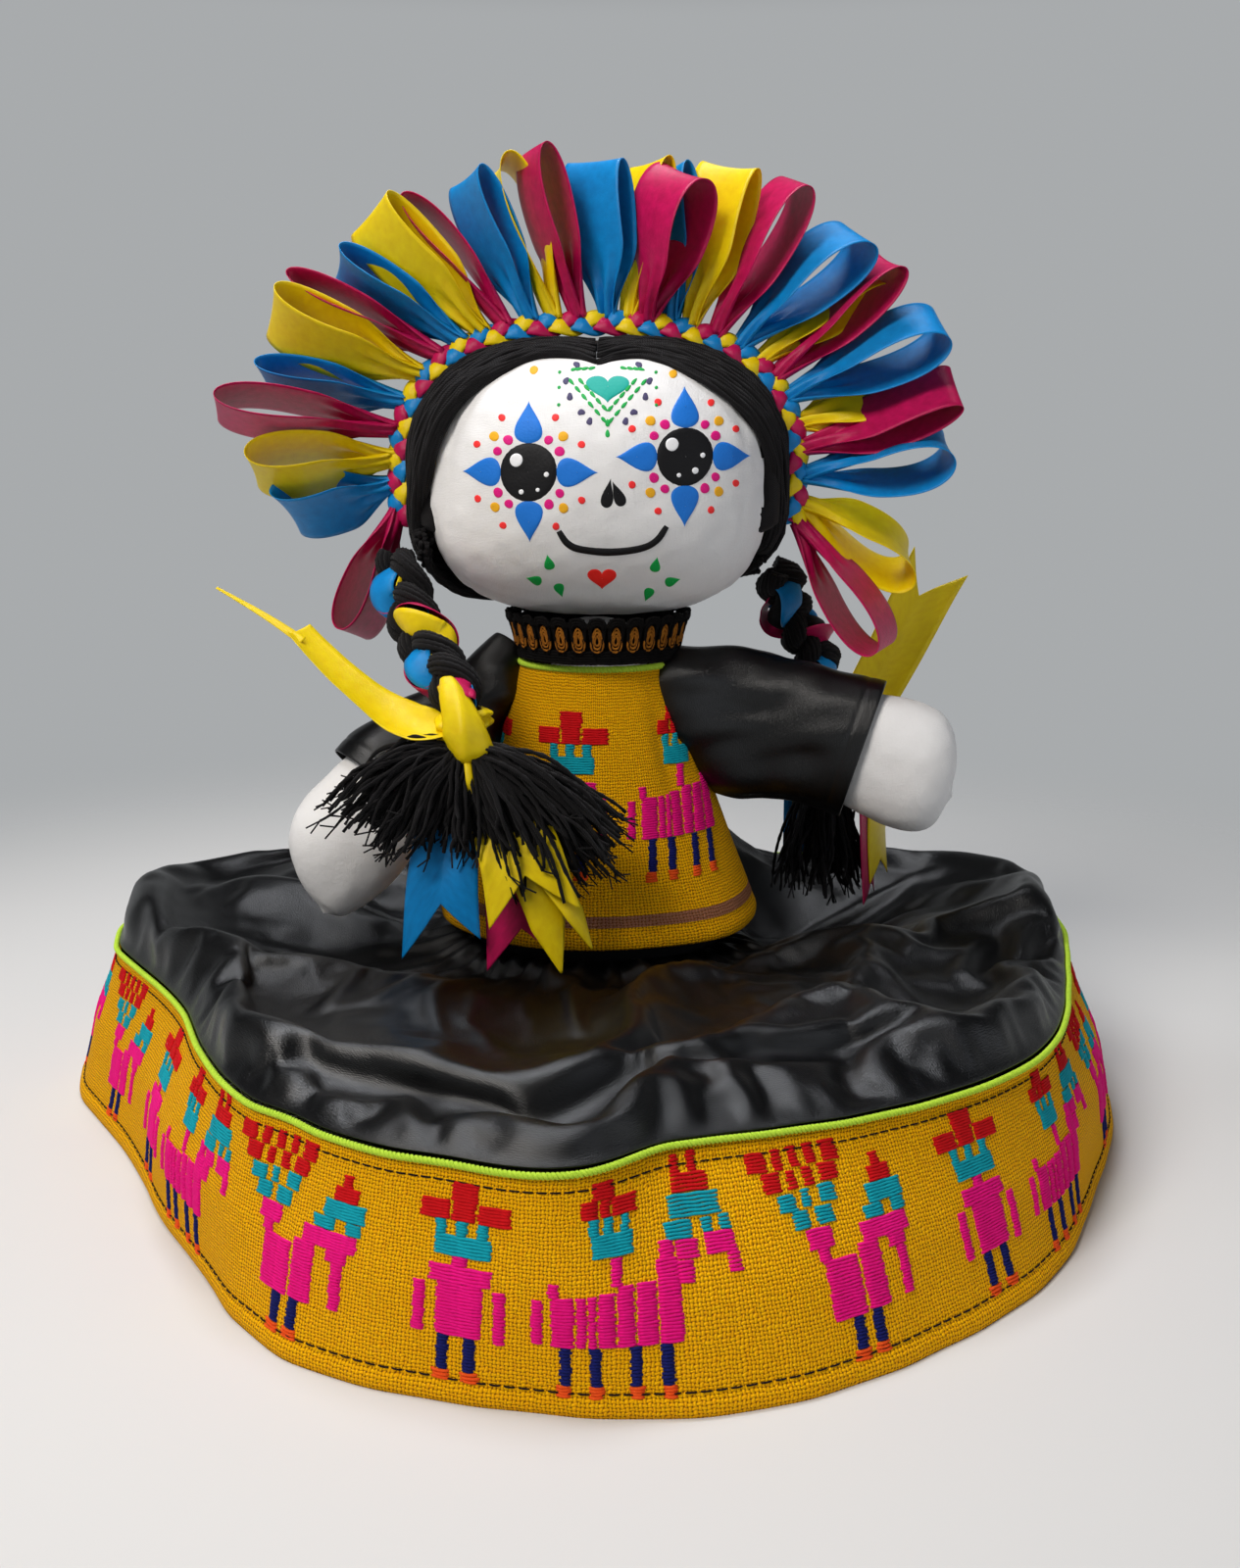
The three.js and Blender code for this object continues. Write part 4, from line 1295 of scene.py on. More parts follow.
def make_collar(looks):
    """Black crochet lace: a dense band, then fans over a row of gold drops, with a scalloped upper edge."""
    low, high = box_of("lace_collar")
    radius, tall = (high[0] - low[0]) / 2 - 3.2, high[2] - low[2]

    def at(arc, h, out=0.0):
        a = np.asarray(arc, float) / radius
        r = radius + 3.0 * (np.maximum(h, 0) / tall) ** 1.5 + out
        return np.stack([r * np.sin(a), -r * np.cos(a), low[2] + h + 0 * a], -1)

    h = np.linspace(-0.6, tall * 0.86, 16)[:, None]
    arcs = np.linspace(0, TAU * radius, 160, endpoint=False)[None]
    ridge = 0.25 * np.sin(arcs * TAU / 1.3) * np.sin(h * TAU / 1.5)
    backing = grid("lace_backing", at(arcs + 0 * h, h + 0 * arcs, ridge - 0.5), close_u=True)
    thicken(backing, 0.5, -1)
    dress(backing, looks["lace"], "torso", "lace_collar")
    count = round(TAU * radius / 5.3)
    step = TAU * radius / count
    black, gold = Tubes(), Tubes()
    for k in range(count):
        middle = k * step
        for ring in range(3):
            t = np.linspace(0, TAU, 19)
            wide, high_part = 2.0 - 0.6 * ring, 3.8 - 1.1 * ring
            arc = middle + wide * np.sin(t) * (1 - 0.45 * np.cos(t)) * 0.8
            rise = 7.3 + high_part * -np.cos(t)
            gold.add(at(arc, 14.4 - rise, 0.95), 0.36, sides=5)
        for side in (-1, 1):
            for ring in range(2):
                t = np.linspace(0, 1, 14)
                arc = middle + side * (step / 2 - 0.5 * ring - 0.1) * np.sin(
                    t * math.pi / 2 + 0.35 * (1 - t)
                )
                rise = 2.4 + (tall - 2.2 - 0.8 * ring) * t**0.8
                black.add(
                    at(arc - side * 0.9 * t**3, rise, 0.8 + 0.3 * t), 0.42, sides=6, ply=0.2, pitch=1.2
                )
        t = np.linspace(0, math.pi, 15)
        for ring in range(3):
            reach = step / 2 - 0.1 - 0.55 * ring
            arc = middle + reach * np.cos(t)
            rise = tall - 2.6 + (2.9 - 0.8 * ring) * np.sin(t)
            black.add(at(arc, rise, 0.9 + 0.2 * ring), 0.5, sides=6, ply=0.25, pitch=1.1)
    around = np.linspace(0, TAU * radius, 240)
    for row in range(5):
        arc = around + 0.35 * np.sin(around * TAU / 1.4 + row * math.pi)
        black.add(at(arc, -0.2 + row * 0.85, 0.35), 0.52, sides=6, ply=0.25, pitch=1.4)
    for name, threads, look in (("lace_threads", black, looks["lace"]), ("lace_gold", gold, looks["gold"])):
        dress(threads.piece(name), look, "torso")


# ---------------------------------------------------------------- cloth simulation

SIM_SCALE = 10  # cloth solves better at this many times its real size


def scale_mesh(piece, factor):
    co = np.zeros(len(piece.data.vertices) * 3, np.float32)
    piece.data.vertices.foreach_get("co", co)
    piece.data.vertices.foreach_set("co", co * factor)
    piece.data.update()


def let_fall(piece, held, ground, growth, frames, bending, weight):
    """Simulates a piece of cloth that is this much too big for its place, held at some of its vertices."""
    scale_mesh(piece, SIM_SCALE)
    scale_mesh(ground, SIM_SCALE)
    if sum(face.normal.z for face in ground.data.polygons) < 0:
        ground.data.flip_normals()
    group = piece.vertex_groups.new(name="held")
    group.add([int(i) for i in held], 1.0, "REPLACE")
    cloth = piece.modifiers.new("cloth", "CLOTH")
    settings = cloth.settings
    settings.quality = 6
    settings.effector_weights.gravity = weight
    settings.mass = 0.18
    settings.air_damping = 3
    settings.tension_stiffness = settings.compression_stiffness = 22
    settings.shear_stiffness = 12
    settings.bending_stiffness = bending
    settings.tension_damping = settings.compression_damping = 12
    settings.vertex_group_mass = "held"
    settings.shrink_min = -growth
    cloth.collision_settings.distance_min = 0.004
    cloth.point_cache.frame_end = frames
    ground.modifiers.new("solid", "COLLISION")
    ground.collision.thickness_outer = 0.005
    scene = bpy.context.scene
    scene.frame_end = frames
    for frame_number in range(1, frames + 1):
        scene.frame_set(frame_number)
    settle(piece)
    scale_mesh(piece, 1 / SIM_SCALE)
    piece.vertex_groups.clear()
    bpy.data.objects.remove(ground)
    scene.frame_set(1)


# ---------------------------------------------------------------- embroidery

# Each row is a colour and its blocks: their left and right ends, then their lower and upper edges.
HAT_MAN = (
    ("orange", (5, 9, 0, 2.5), (11.5, 15.6, 0, 2.5)),
    ("navy", (5.8, 8.4, 2.5, 10.5), (12, 14.6, 2.5, 10.5)),
    (
        "magenta",
        (5.4, 16, 10.5, 22.5), (0, 2.6, 10.5, 22), (18.6, 21.2, 10, 22), (3.4, 18, 22.5, 26.4),
        (8.6, 12, 26.4, 28.6),
    ),
    (
        "teal",
        (4, 17.6, 28.6, 33.2), (4, 6.4, 33.2, 36.6), (9, 11.6, 33.2, 36.6), (14.2, 16.8, 33.2, 36.6),
    ),
    ("red", (0, 7, 36.6, 41), (7.7, 13.4, 36.6, 41), (14.1, 21.8, 36.6, 41), (7.2, 14, 41, 45.4)),
)
RIDER = (
    ("orange", (6.2, 9.4, 0, 2.8), (13.5, 16.5, 0, 2.8), (22.4, 25.4, 0, 2.8), (29.4, 32.6, 0, 2.8)),
    ("navy", (7, 9.4, 2.8, 11.5), (13.6, 16, 2.8, 11.5), (22.6, 25, 2.8, 11.5), (29.4, 32, 2.8, 11.5)),
    (
        "magenta",
        (0.6, 2.9, 12, 22), (4.2, 6.4, 22.6, 25.8), (5, 10, 11.6, 22.8), (10.6, 12.7, 11.6, 22.8),
        (13.3, 14.8, 11.6, 23), (15.4, 19.2, 11.6, 23.4), (19.8, 23.6, 11.6, 24.6),
        (24.2, 28.8, 11.6, 24.6), (29.4, 34.6, 11.6, 28.6), (18.5, 20.9, 24.6, 30.6),
    ),
    (
        "teal",
        (14.1, 23.8, 30.9, 35.8), (13.4, 15.6, 35.8, 39.3), (16.8, 19.1, 35.8, 39.3),
        (21.2, 23.1, 35.8, 39.3),
    ),
    (
        "red",
        (11.4, 15.6, 39.3, 43.2), (16.1, 18.5, 39.3, 43.2), (19, 25.3, 39.3, 43.2),
        (14.3, 19.7, 43.2, 47),
    ),
    (
        "magenta",
        (30.3, 33.8, 28.6, 32), (34.5, 39.7, 27.7, 31.5), (34.1, 38.2, 23.1, 27.5),
        (41.8, 49.1, 28, 32.3), (46.8, 49.7, 24, 28),
    ),
    (
        "teal",
        (32, 38.8, 31.6, 35.3), (41.5, 43.9, 32.4, 35.2), (45.9, 48.6, 32.4, 35.5),
        (33.5, 46.8, 35.6, 40.3),
    ),
    ("red", (35, 44.7, 40.4, 44.3), (35.3, 37.7, 44.3, 48), (40, 42.5, 44.3, 48.5)),
)
PLUMED = (
    ("orange", (17, 21, 0, 2.5), (22.3, 26, 0.3, 2.8)),
    ("navy", (18, 20.6, 2.5, 9.6), (23, 25.6, 2.8, 10)),
    (
        "magenta",
        (13.5, 22, 9.6, 22.4), (22.8, 28.4, 10, 24.2), (12.6, 15.6, 22.4, 25), (10.9, 17.4, 25, 29.3),
        (24.8, 38.4, 24.2, 28.3), (31.3, 36.5, 21.4, 24.2), (33, 35.6, 10.5, 21.4),
    ),
    (
        "teal",
        (8.5, 12.9, 29.6, 33.4), (14.7, 19.4, 29.8, 33.6), (5.9, 10.3, 33.4, 37),
        (12.2, 14.2, 33.8, 37.6), (17, 21.3, 34.2, 38),
    ),
    (
        "red",
        (3.2, 7.8, 37.6, 41.8), (9.6, 12, 37.8, 41.8), (14, 16.8, 38, 42), (18.6, 23.4, 38.4, 42.2),
        (0, 5.2, 42, 46.2), (7, 9.6, 42, 46.4), (11.6, 14.1, 42.2, 46.6), (16.2, 18.6, 42.4, 46.8),
        (20.6, 25, 42.4, 47),
    ),
    ("teal", (27, 32.6, 28.6, 31.4), (35.2, 39, 28.6, 31.4), (29.2, 39.6, 31.6, 35.8)),
    ("red", (31.4, 37.6, 35.9, 39.4), (33.2, 35.6, 39.4, 42.4)),
)
STITCH_STEP = 0.74  # one row of the yarn to the next
THREAD_COLOURS = ("orange", "navy", "magenta", "teal", "red")


class Embroidery:
    """Raised rows of coloured yarn on a cloth. place(u, v, out) gives points on it and where it faces."""

    def __init__(self, name, place):
        self.name, self.place = name, place
        self.threads = {colour: Tubes() for colour in THREAD_COLOURS}
        self.dice = np.random.default_rng(81)

    def figure(self, rows, u0, v0, stretch=(1.0, 1.0)):
        for colour, *blocks in rows:
            for block in blocks:
                left, right, low, high = np.array(block) * np.repeat(stretch, 2)
                self.block(self.threads[colour], u0 + left, u0 + right, v0 + low, high - low)

    def block(self, threads, left, right, low, tall):
        """One solid block of colour, a row of yarn at a time."""
        rows = max(1, round(tall / STITCH_STEP))
        for row in range(rows):
            v = low + (row + 0.5) * tall / rows
            ends = self.dice.uniform(-0.3, 0.3, 2)
            start, end = left + ends[0], right + ends[1]
            steps = max(4, int((end - start) / 0.8))
            u = np.linspace(start, end, steps)
            t = np.linspace(0, 1, steps)
            lift = 0.30 - 0.42 * np.abs(2 * t - 1) ** 6 + 0.05 * np.sin(u * 3.7 + row * 2.1)
            line, facing = self.place(u, v + 0.07 * np.sin(u * 1.1 + row), lift)
            threads.add(line, 0.4, sides=6, up=facing, flat=0.8)

    def finish(self, looks, body):
        for colour, threads in self.threads.items():
            if threads.count:
                dress(threads.piece(f"{self.name}_{colour}"), looks["thread_" + colour], body)


# ---------------------------------------------------------------- skirt

BORDER_LOW, BORDER_HIGH = box_of("skirt_border")
SKIRT_MIDDLE = np.array([-3.0, -48.0, 0.0])
WAIST_LOW, WAIST_HIGH = box_of("waist_elastic")
WAIST_Z = (WAIST_LOW[2] + WAIST_HIGH[2]) / 2


def border_dents(degrees, share):
    """How far the border stands out of its plain shape: the dents of its upper edge and its loose folds."""

    def from_at(centre, width):
        return hill((degrees - centre + 180) % 360 - 180, 0, width)

    out = -9.0 * np.where(degrees > -79, from_at(-79, 24), from_at(-79, 6.5)) * share**1.3
    out += 4.0 * from_at(-93, 7) * share**1.2
    out += 13.0 * from_at(-26, 24) * share**1.2
    out += -3.5 * from_at(-122, 8) * share
    out += -6.0 * from_at(-172, 22) * share
    out += 1.6 * np.sin(np.radians(degrees) * 9 + 1.0) * (1 - share) * 0.7
    out += 1.5 * np.sin(np.radians(degrees) * 5 + 2.2) * np.sin(math.pi * share)
    return out


class Border:
    """The skirt's woven band as a cloth: u round it and v up from its lower edge."""

    def __init__(self):
        tree = tree_of(frame["nodes"]["skirt_border"])
        self.degrees = np.linspace(-180, 180, 721)[:-1]
        self.share = np.linspace(0, 1, 40)
        self.top = BORDER_HIGH[2]
        a = np.radians(self.degrees)
        outward = np.stack([np.cos(a), np.sin(a), 0 * a], -1)
        radius = np.zeros((len(self.share), len(a)))
        probe = np.linspace(0.02, 0.97, 12)
        found = np.zeros((len(probe), len(a)))
        for i, share in enumerate(probe):
            for j in range(len(a)):
                start = SKIRT_MIDDLE + outward[j] * 400 + (
                    0, 0, BORDER_LOW[2] + share * (self.top - BORDER_LOW[2])
                )
                hit = struck(tree, start, -outward[j])
                found[i, j] = np.linalg.norm((hit[0] - SKIRT_MIDDLE)[:2]) if hit else found[max(i - 1, 0), j]
        for j in range(len(a)):
            radius[:, j] = np.interp(self.share, probe, found[:, j])
        kernel = np.hanning(15) / np.hanning(15).sum()
        radius = np.apply_along_axis(
            lambda r: np.convolve(np.concatenate([r[-7:], r, r[:7]]), kernel, "valid"), 1, radius
        )
        radius += border_dents(self.degrees[None], self.share[:, None])
        z = BORDER_LOW[2] + self.share * (self.top - BORDER_LOW[2])
        self.points = (
            SKIRT_MIDDLE + outward[None] * radius[..., None] + np.array([0, 0, 1.0]) * z[:, None, None]
        )
        across = np.roll(self.points, -1, 1) - np.roll(self.points, 1, 1)
        upward = np.gradient(self.points, axis=0)
        self.facing = unit(np.cross(across, upward))
        self.v = lengths_along(self.points)
        steps = np.linalg.norm(np.roll(self.points, -1, 1) - self.points, axis=2)
        self.length = steps[len(self.share) // 2].sum()
        self.u = np.concatenate([[0], np.cumsum(steps[len(self.share) // 2])[:-1]])
        self.relief = 0.9 * hill(self.v, 2.6, 2.3) - 0.45 * hill(self.v, 5.6, 0.5)
        self.relief += -0.35 * hill(self.v - self.v[-1], -3.2, 0.5)

    def rim(self, out=0.0, up=0.0):
        return self.points[-1] + self.facing[-1] * out + (0, 0, up)

    def at(self, u, v, out):
        u = np.asarray(u, float) % self.length
        j = np.interp(u, np.append(self.u, self.length), np.arange(len(self.u) + 1))
        i = np.clip(np.interp(v, self.v, np.arange(len(self.v))), 0, len(self.v) - 1.001)
        i, j = np.broadcast_arrays(i, j)
        i0, j0 = i.astype(int), j.astype(int)
        fi, fj = (i - i0)[..., None], (j - j0)[..., None]
        n = len(self.u)

        def read(values):
            low = values[i0, j0 % n] * (1 - fj) + values[i0, (j0 + 1) % n] * fj
            high = values[i0 + 1, j0 % n] * (1 - fj) + values[i0 + 1, (j0 + 1) % n] * fj
            return low * (1 - fi) + high * fi

        facing = unit(read(self.facing))
        relief = np.interp(v, self.v, self.relief)
        return read(self.points) + facing * np.asarray(out + relief)[..., None], facing


def dashes(name, place, length, v, look, dash=2.4, gap=0.9, radius=0.22):
    """A row of machine stitches along a cloth at one height."""
    threads = Tubes()
    for k in range(int(length / (dash + gap))):
        u = np.linspace(0, dash, 6) + k * (dash + gap)
        line, facing = place(u, v + 0 * u, 0.32 - 0.3 * np.abs(np.linspace(-1, 1, 6)) ** 3)
        threads.add(line, radius, sides=5, up=facing)
    dress(threads.piece(name), look, "torso")


def make_border(looks):
    """The woven band with its edging, its two rows of machine stitches and its figures."""
    cloth = Border()
    points = cloth.points + cloth.facing * cloth.relief[:, None, None]
    piece = grid("skirt_border_cloth", points, close_u=True, u=np.append(cloth.u, cloth.length), v=cloth.v)
    thicken(piece, 1.1, -1)
    dress(piece, looks["border"], "torso", "skirt_border")
    closed = np.concatenate([cloth.rim(0.2, 0.9), cloth.rim(0.2, 0.9)[:1]])
    twisted_edge("skirt_edging", closed, looks["lime"], 0.5, 2.2, "skirt_trim")
    dashes("hem_stitches", cloth.at, cloth.length, 5.6, looks["stitching"])
    dashes("rim_stitches", cloth.at, cloth.length, cloth.v[-1] - 3.2, looks["stitching"])
    repeats = 7  # groups of three figures round the skirt
    step = cloth.length / repeats
    first = np.interp(-94, cloth.degrees, cloth.u)
    stitches = Embroidery("skirt_figures", cloth.at)
    for k in range(repeats):
        last = k == repeats - 1
        stitches.figure(RIDER, first + k * step, 4.6)
        wide = 1.2 if last else 1.05
        stitches.figure(PLUMED, first + k * step + (52 if last else 56), 4.6, (wide, 1.0))
        stitches.figure(HAT_MAN, first + k * step + (114 if last else 112), 5.2, (1.05, 1.0))
    stitches.finish(looks, "torso")
    return cloth


# Folds of the satin seen from above: the line of each crest, its height, and how far it falls away on the
# left and on the right of that line.
FOLDS = (
    (
        ((0, -176), (13, -154), (30, -134), (53, -101), (66, -92),
         (79, -110), (89, -121), (101, -108), (117, -82), (137, -56)),
        9.5, 9, 22,
    ),
    (
        ((-118, -104), (-93, -120), (-73, -125), (-51, -133),
         (-30, -142), (-9, -138), (2, -124), (7, -104)),
        8.5, 22, 8,
    ),
    (((-150, -50), (-118, -64), (-90, -67), (-57, -66), (-38, -56)), 8.0, 9, 26),
    (((36, -48), (18, -66), (10, -95), (9, -132)), 7.5, 13, 7),
    (((40, -44), (64, -34), (79, -44), (81, -62), (73, -86)), 6.5, 15, 6),
    (((96, 78), (128, 84), (145, 60), (148, 18), (141, -20)), 7.0, 13, 15),
    (((108, -18), (133, -12), (135, 14), (118, 34)), 5.0, 9, 8),
    (((-118, -66), (-146, -10), (-154, 44), (-138, 84), (-104, 94)), 7.5, 13, 16),
    (((-58, 50), (-72, 74), (-76, 96)), 6.0, 9, 12),
    (((-12, 52), (-8, 76), (-16, 98)), 6.5, 12, 9),
    (((34, 52), (44, 74), (40, 96)), 6.0, 9, 13),
    (((-60, -6), (-92, 8), (-126, 6)), 5.5, 14, 10),
)


def fold_height(places):
    """The height that the folds add at places (x, y) on the skirt's top."""
    height = np.zeros(places.shape[:-1])
    for line, crest, left, right in FOLDS:
        path = smooth_path(np.column_stack([np.array(line, float), np.zeros(len(line))]), 70)[:, :2]
        forward = heading(path)
        gap = places[..., None, :] - path
        far = np.linalg.norm(gap, axis=-1)
        near = far.argmin(-1)
        gap = np.take_along_axis(gap, near[..., None, None], -2)[..., 0, :]
        ahead = forward[near]
        side = ahead[..., 0] * gap[..., 1] - ahead[..., 1] * gap[..., 0]
        width = np.where(side > 0, left, right)
        ends = np.sin(math.pi * np.clip((near + 1) / 71, 0.02, 0.98)) ** 0.45
        height += crest * ends * hill(far.min(-1), 0, width)
    return 18 * np.tanh(height / 18)


def make_skirt_satin(cloth, look):
    """The black satin top, gathered into the waist and falling into a few broad soft folds."""
    tree = tree_of(frame["nodes"]["skirt_satin"])
    rim = cloth.rim(-0.8, 1.6)
    columns, rows = 300, 60
    degrees = np.linspace(-180, 180, columns, endpoint=False)
    rim = np.stack([np.interp(degrees, cloth.degrees, rim[:, k], period=360) for k in range(3)], 1)
    a = np.arctan2(rim[:, 1], rim[:, 0])
    waist_radius = WAIST_HIGH[0] + 1.5
    waist = np.stack(
        [waist_radius * np.cos(a), waist_radius * BODICE_DEPTH * np.sin(a), 0 * a + WAIST_Z], -1
    )
    share = np.linspace(0, 1, rows)[:, None]
    flat = waist[None] * (1 - share[..., None]) + rim[None] * share[..., None]
    height = np.zeros((rows, columns))
    for i in range(rows):
        for j in range(columns):
            hit = struck(tree, (flat[i, j, 0], flat[i, j, 1], 200), (0, 0, -1))
            height[i, j] = hit[0][2] if hit else np.nan
    for j in range(columns):
        known = ~np.isnan(height[:, j])
        height[:, j] = np.interp(share[:, 0], share[known, 0], height[known, j])
    blend_in = np.clip(np.minimum(share / 0.08, (1 - share) / 0.06), 0, 1)
    height = height * blend_in + flat[..., 2] * (1 - blend_in)
    gathers = (np.sin(a * 38 + 2 * np.sin(a * 3)) + 0.5 * np.sin(a * 71)) * 1.3
    height = height + gathers * np.exp(-share / 0.13) * ramp(share, 0, 0.03)
    places = flat[..., :2] + np.stack(
        [wobble(flat * (1, 1, 0), 60, 95), wobble(flat * (1, 1, 0), 60, 96)], -1
    ) * 2.5
    folds = (
        fold_height(places) - 3.0 + wobble(flat * (1, 1, 0), 48, 91) * 1.3
        + wobble(flat * (1, 1, 0), 19, 92) * 0.5
    )
    ease = ramp(1 - share, 0, 0.1) * ramp(share, 0, 0.12)
    roll = 3.0 * np.sin(math.pi * ramp(1 - share, 0, 0.2))
    height = height + folds * ease * ease * (3 - 2 * ease) + roll
    ground = flat.copy()
    ground[..., 2] = height - 4.5
    flat[..., 2] = height
    satin = grid("skirt_satin_cloth", flat, close_u=True)
    edges = np.arange(rows * columns).reshape(rows, columns)[[0, 1, rows - 2, rows - 1]].ravel()
    let_fall(
        satin, edges, grid("under_skirt", ground, close_u=True), growth=0.07, frames=16, bending=3.0,
        weight=0.5
    )
    made = satin.modifiers.new("soften", "SMOOTH")
    made.factor, made.iterations = 0.5, 1
    thicken(satin, 0.6, -1)
    round_off(satin)
    dress(satin, look, "torso", "skirt_satin")


# ---------------------------------------------------------------- hidden pieces

def make_hidden(looks):
    """The stuffed torso and legs and the waist elastic, seen only from below or when the doll moves."""
    for name, fill in (("torso", 0.9), ("left_leg", 0.85), ("right_leg", 0.85)):
        source = frame["nodes"][name]
        piece = bpy.data.objects.new(name + "_stuffed", source.data.copy())
        piece.data.materials.clear()
        bpy.context.scene.collection.objects.link(piece)
        weld(piece)
        made = piece.modifiers.new("even", "REMESH")
        made.mode, made.voxel_size = "VOXEL", 3.0 * MM
        settle(piece)
        smooth = piece.modifiers.new("soften", "SMOOTH")
        smooth.factor, smooth.iterations = 0.6, 6
        settle(piece)
        co = np.array([v.co for v in piece.data.vertices]) / MM
        normals = np.array([v.normal for v in piece.data.vertices])
        co = co + normals * (0.5 * wobble(co, 22, 7) - 0.5)[:, None]
        piece.data.vertices.foreach_set("co", (co * MM).astype(np.float32).ravel())
        piece.data.shade_smooth()
        flat_uvs(piece)
        dress(piece, looks["cotton"], source["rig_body"], name)
    low, high = WAIST_LOW, WAIST_HIGH
    turn = np.arange(200) * TAU / 200
    z = np.linspace(low[2], high[2], 9)[:, None]
    radius = high[0] - 0.3 - 0.5 * np.abs(np.sin(turn * 44))
    depth = high[1] / high[0]
    band = np.stack([radius * np.cos(turn) + 0 * z, radius * depth * np.sin(turn) + 0 * z, z + 0 * turn], -1)
    elastic = grid("waist_elastic_cloth", band, close_u=True)
    thicken(elastic, 0.8, -1)
    dress(elastic, looks["elastic"], "torso", "waist_elastic")


# ---------------------------------------------------------------- everything together

def make_looks():
    return {
        "cotton": cotton(),
        "satin": black_satin(),
        "panel": woven("woven_panel", stripe=(7.0, 10.6)),
        "border": woven("woven_border"),
        "yarn": yarn(),
        "lime": thread("lime_thread", "#cdec4c", "#a4cc34"),
        "lace": thread("lace_thread", "#0b0807", "#040303"),
        "gold": thread("gold_thread", "#c07a24", "#7a4512"),
        "elastic": thread("elastic", "#1a1a1c", "#0e0e10"),
        "stitching": thread("stitching", "#241a20", "#120c10"),
        "thread_orange": thread("orange_thread", "#ff6a28", "#f04a12"),
        "thread_navy": thread("navy_thread", "#1b2378", "#0f154c"),
        "thread_magenta": thread("magenta_thread", "#ff1490", "#e00c78"),
        "thread_teal": thread("teal_thread", "#12b0c0", "#0b90a2"),
        "thread_red": thread("red_thread", "#e2141c", "#bc0a12"),
        "blue": ribbon_satin("blue_ribbon", "#0b93dc", "#0879c0"),
        "magenta": ribbon_satin("magenta_ribbon", "#d31560", "#a80c45"),
        "yellow": ribbon_satin("yellow_ribbon", "#fbe00a", "#ecc703"),
    }


# Each of the right side's tails: its colour, its route, the way its width runs, its widths at the top and the
# end, the depth of its swallow tail and how far its end slants.
RIGHT_TAILS = (
    ("blue", [[-40, -54, 112], [-43, -57, 102], [-45, -63, 84], [-45.5, -65, 61]],
     (1, -0.1, 0.16), (18, 24), 14, 7),
    ("magenta", [[-30, -53, 110], [-25, -56, 96], [-22.5, -60, 76], [-22, -61, 57]],
     (1, 0.1, 0.1), (20, 21), 11, 4),
    ("yellow", [[-33, -55, 114], [-27, -59, 105], [-21.5, -68, 93], [-17.5, -72, 76]],
     (1, 0.05, 0.24), (20, 27), 13, 0),
)
# The thin yellow ends beside them: the route, four widths along it and the way the width runs.
PRONGS = (
    ("prong", [[-26, -60, 104], [-20, -64.5, 92], [-15.5, -66, 78], [-10.2, -67, 58]],
     (13, 13, 10.5, 0.6), (1, 0.3, 0.2)),
    ("curl", [[-20, -62, 100], [-13, -66, 87], [-6.5, -68, 77], [-1.2, -67, 65.5]],
     (10, 9, 7, 0.6), (0.8, 0.9, 0.4)),
)
# The left side's: the colour, the route, the width, the way it runs and the depth of the swallow tail.
LEFT_TAILS = (
    ("blue", [[78, 40, 104], [77, 46, 92], [77, 47, 72], [77, 47, 60]], 22, (1, 0, 0), 7),
    ("magenta", [[88, 33, 104], [92, 31, 92], [93.5, 31, 72], [95, 30, 52]], 20, (0.35, 1, 0), 6),
    ("yellow", [[92, 38, 104], [97, 36, 92], [98, 36, 72], [99, 35, 58]], 20, (0.5, 1, 0), 7),
)


def make_tails(looks):
    """The ribbons' ends below each tassel."""
    for colour, route, across, width, notch, slant in RIGHT_TAILS:
        name = f"right_{colour}_tail"
        ribbon(
            name, smooth_path(route, 60), across, np.linspace(*width, 60), looks, colour, "right_braid", name,
            columns=21, cup=0.12, notch=notch, slant=slant,
        )
    for name, route, width, across in PRONGS:
        width = np.interp(np.linspace(0, 1, 50), (0, 0.4, 0.7, 1), width)
        ribbon(
            "right_yellow_" + name, smooth_path(route, 50), across, width, looks, "yellow", "right_braid",
            columns=11, cup=0.2,
        )
    for colour, route, width, across, notch in LEFT_TAILS:
        name = f"left_{colour}_tail"
        ribbon(
            name, smooth_path(route, 44), across, width, looks, colour, "left_braid", name,
            columns=13, cup=0.1, notch=notch,
        )


def make_ties(looks):
    """The yellow ribbons knotted round the braids' ends, with the fold over the front of the right knot."""
    make_tie("right", looks["yellow"], (1.5, -1.0))
    make_tie("left", looks["yellow"], (0.5, 0))
    knot = [
        [-42.5, -56, 143], [-40.6, -60.5, 139.5], [-38.0, -63.5, 133], [-36.6, -63, 126.5],
        [-36.2, -59, 122.8],
    ]
    make_flap("right_tie_flap", knot, (5, 9.5, 14.5, 12), looks["yellow"], "right_braid")
    path = smooth_path([[-37, -60, 125], [-36.6, -65, 121], [-36, -67, 116], [-35.4, -66, 112]], 24)
    ribbon("right_tie_tuck", path, (1, 0.3, 0), 2.2, looks, "yellow", "right_braid", columns=7, cup=0.3)


def make_tassels(looks):
    make_tassel(
        "right", (-37.5, -60, 123.5), looks["yarn"], count=520, fan=(-87, 76),
        reach=(38, 35, 32, 30, 28, 31, 41, 47, 47, 41), droop=8, depth=11, fullness=6.05, seed=41,
    )
    make_tassel(
        "left", (77.5, 31, 101), looks["yarn"], count=150, fan=(-22, 22),
        reach=(44, 46, 44), droop=4, depth=9, fullness=0, seed=42,
    )


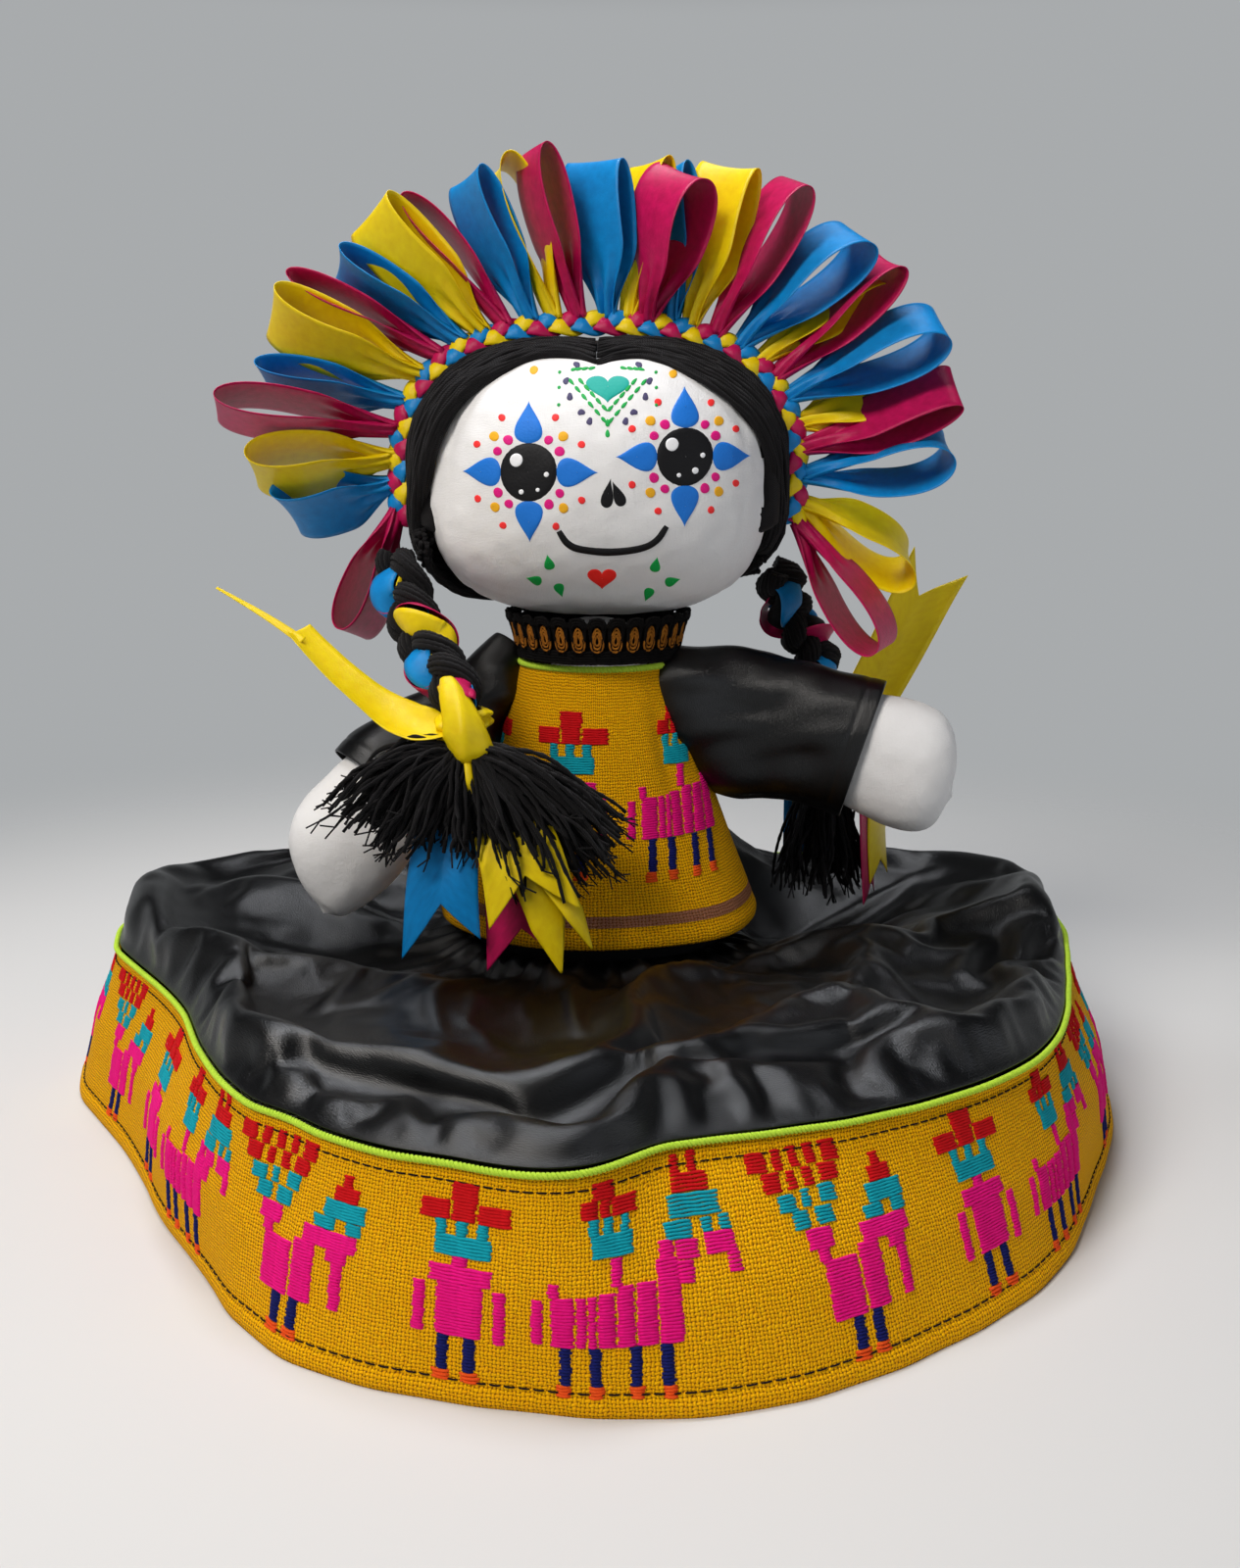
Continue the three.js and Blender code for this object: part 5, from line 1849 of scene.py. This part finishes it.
def make_tie_ends(looks):
    """The ties' own free ends: the right one curls outwards and the left one stands up behind the hand."""
    route = [
        [-40, -57, 131], [-46, -58.5, 130.8], [-53, -58, 131.6], [-62, -56, 136], [-72, -55, 144],
        [-80, -53, 151.4], [-86.5, -51, 158],
    ]
    path = smooth_path(route, 90)
    t = np.linspace(0, 1, len(path))
    turn = np.radians(np.interp(t, (0, 0.2, 0.5, 1), (70, 58, 66, 74)))
    across = np.stack([0 * t, np.sin(turn), np.cos(turn)], 1)
    width = np.interp(t, (0, 0.12, 0.3, 1), (8, 14, 16.5, 15))
    ribbon(
        "right_tie_end", path, across, width, looks, "yellow", "right_braid", "right_tie_end",
        columns=13, cup=0.3,
    )
    path = smooth_path([[-85, -52, 154], [-91.8, -51, 158.6], [-99, -50, 163], [-109.9, -49, 169.2]], 50)
    ribbon(
        "right_tie_tip", path, (0.15, 0.75, 0.6), np.linspace(3.4, 0.8, 50), looks, "yellow", "right_braid",
        columns=5, cup=0.1, thickness=0.2,
    )
    path = smooth_path([[84, 40, 104], [92, 39, 118], [102, 38, 138], [112, 37, 160], [117, 37, 170]], 50)
    ribbon(
        "left_tie_end", path, (0.9, 0.25, -0.45), np.linspace(19, 23, 50), looks, "yellow", "left_braid",
        "left_tie_end", columns=13, cup=0.25, notch=14,
    )


def main():
    add_camera()
    add_floor()
    add_surroundings()
    add_lights()
    looks = make_looks()
    head = make_head(looks["cotton"])
    paint_face(head)
    make_hair_cap(looks["yarn"])
    make_hair(looks["yarn"])
    colours = ("blue", "yellow", "magenta")
    make_braid("right_braid", RIGHT_BRAID, (-0.55, -0.8, 0.1), looks, colours, 0.6, 0.15)
    make_braid("left_braid", LEFT_BRAID, (0.6, -0.8, 0.1), looks, colours[::2], 0.88, 0.1)
    make_ties(looks)
    make_tassels(looks)
    make_tails(looks)
    make_tie_ends(looks)
    make_crown_braid(looks)
    make_loops(looks)
    for side in (-1, 1):
        make_arm(side, looks["cotton"])
        make_sleeve(side, looks["satin"])
    make_panel(looks)
    make_blouse_back(looks["satin"])
    make_collar(looks)
    cloth = make_border(looks)
    make_skirt_satin(cloth, looks["satin"])
    make_hidden(looks)


main()
bpy.context.scene.view_settings.view_transform = "Standard"
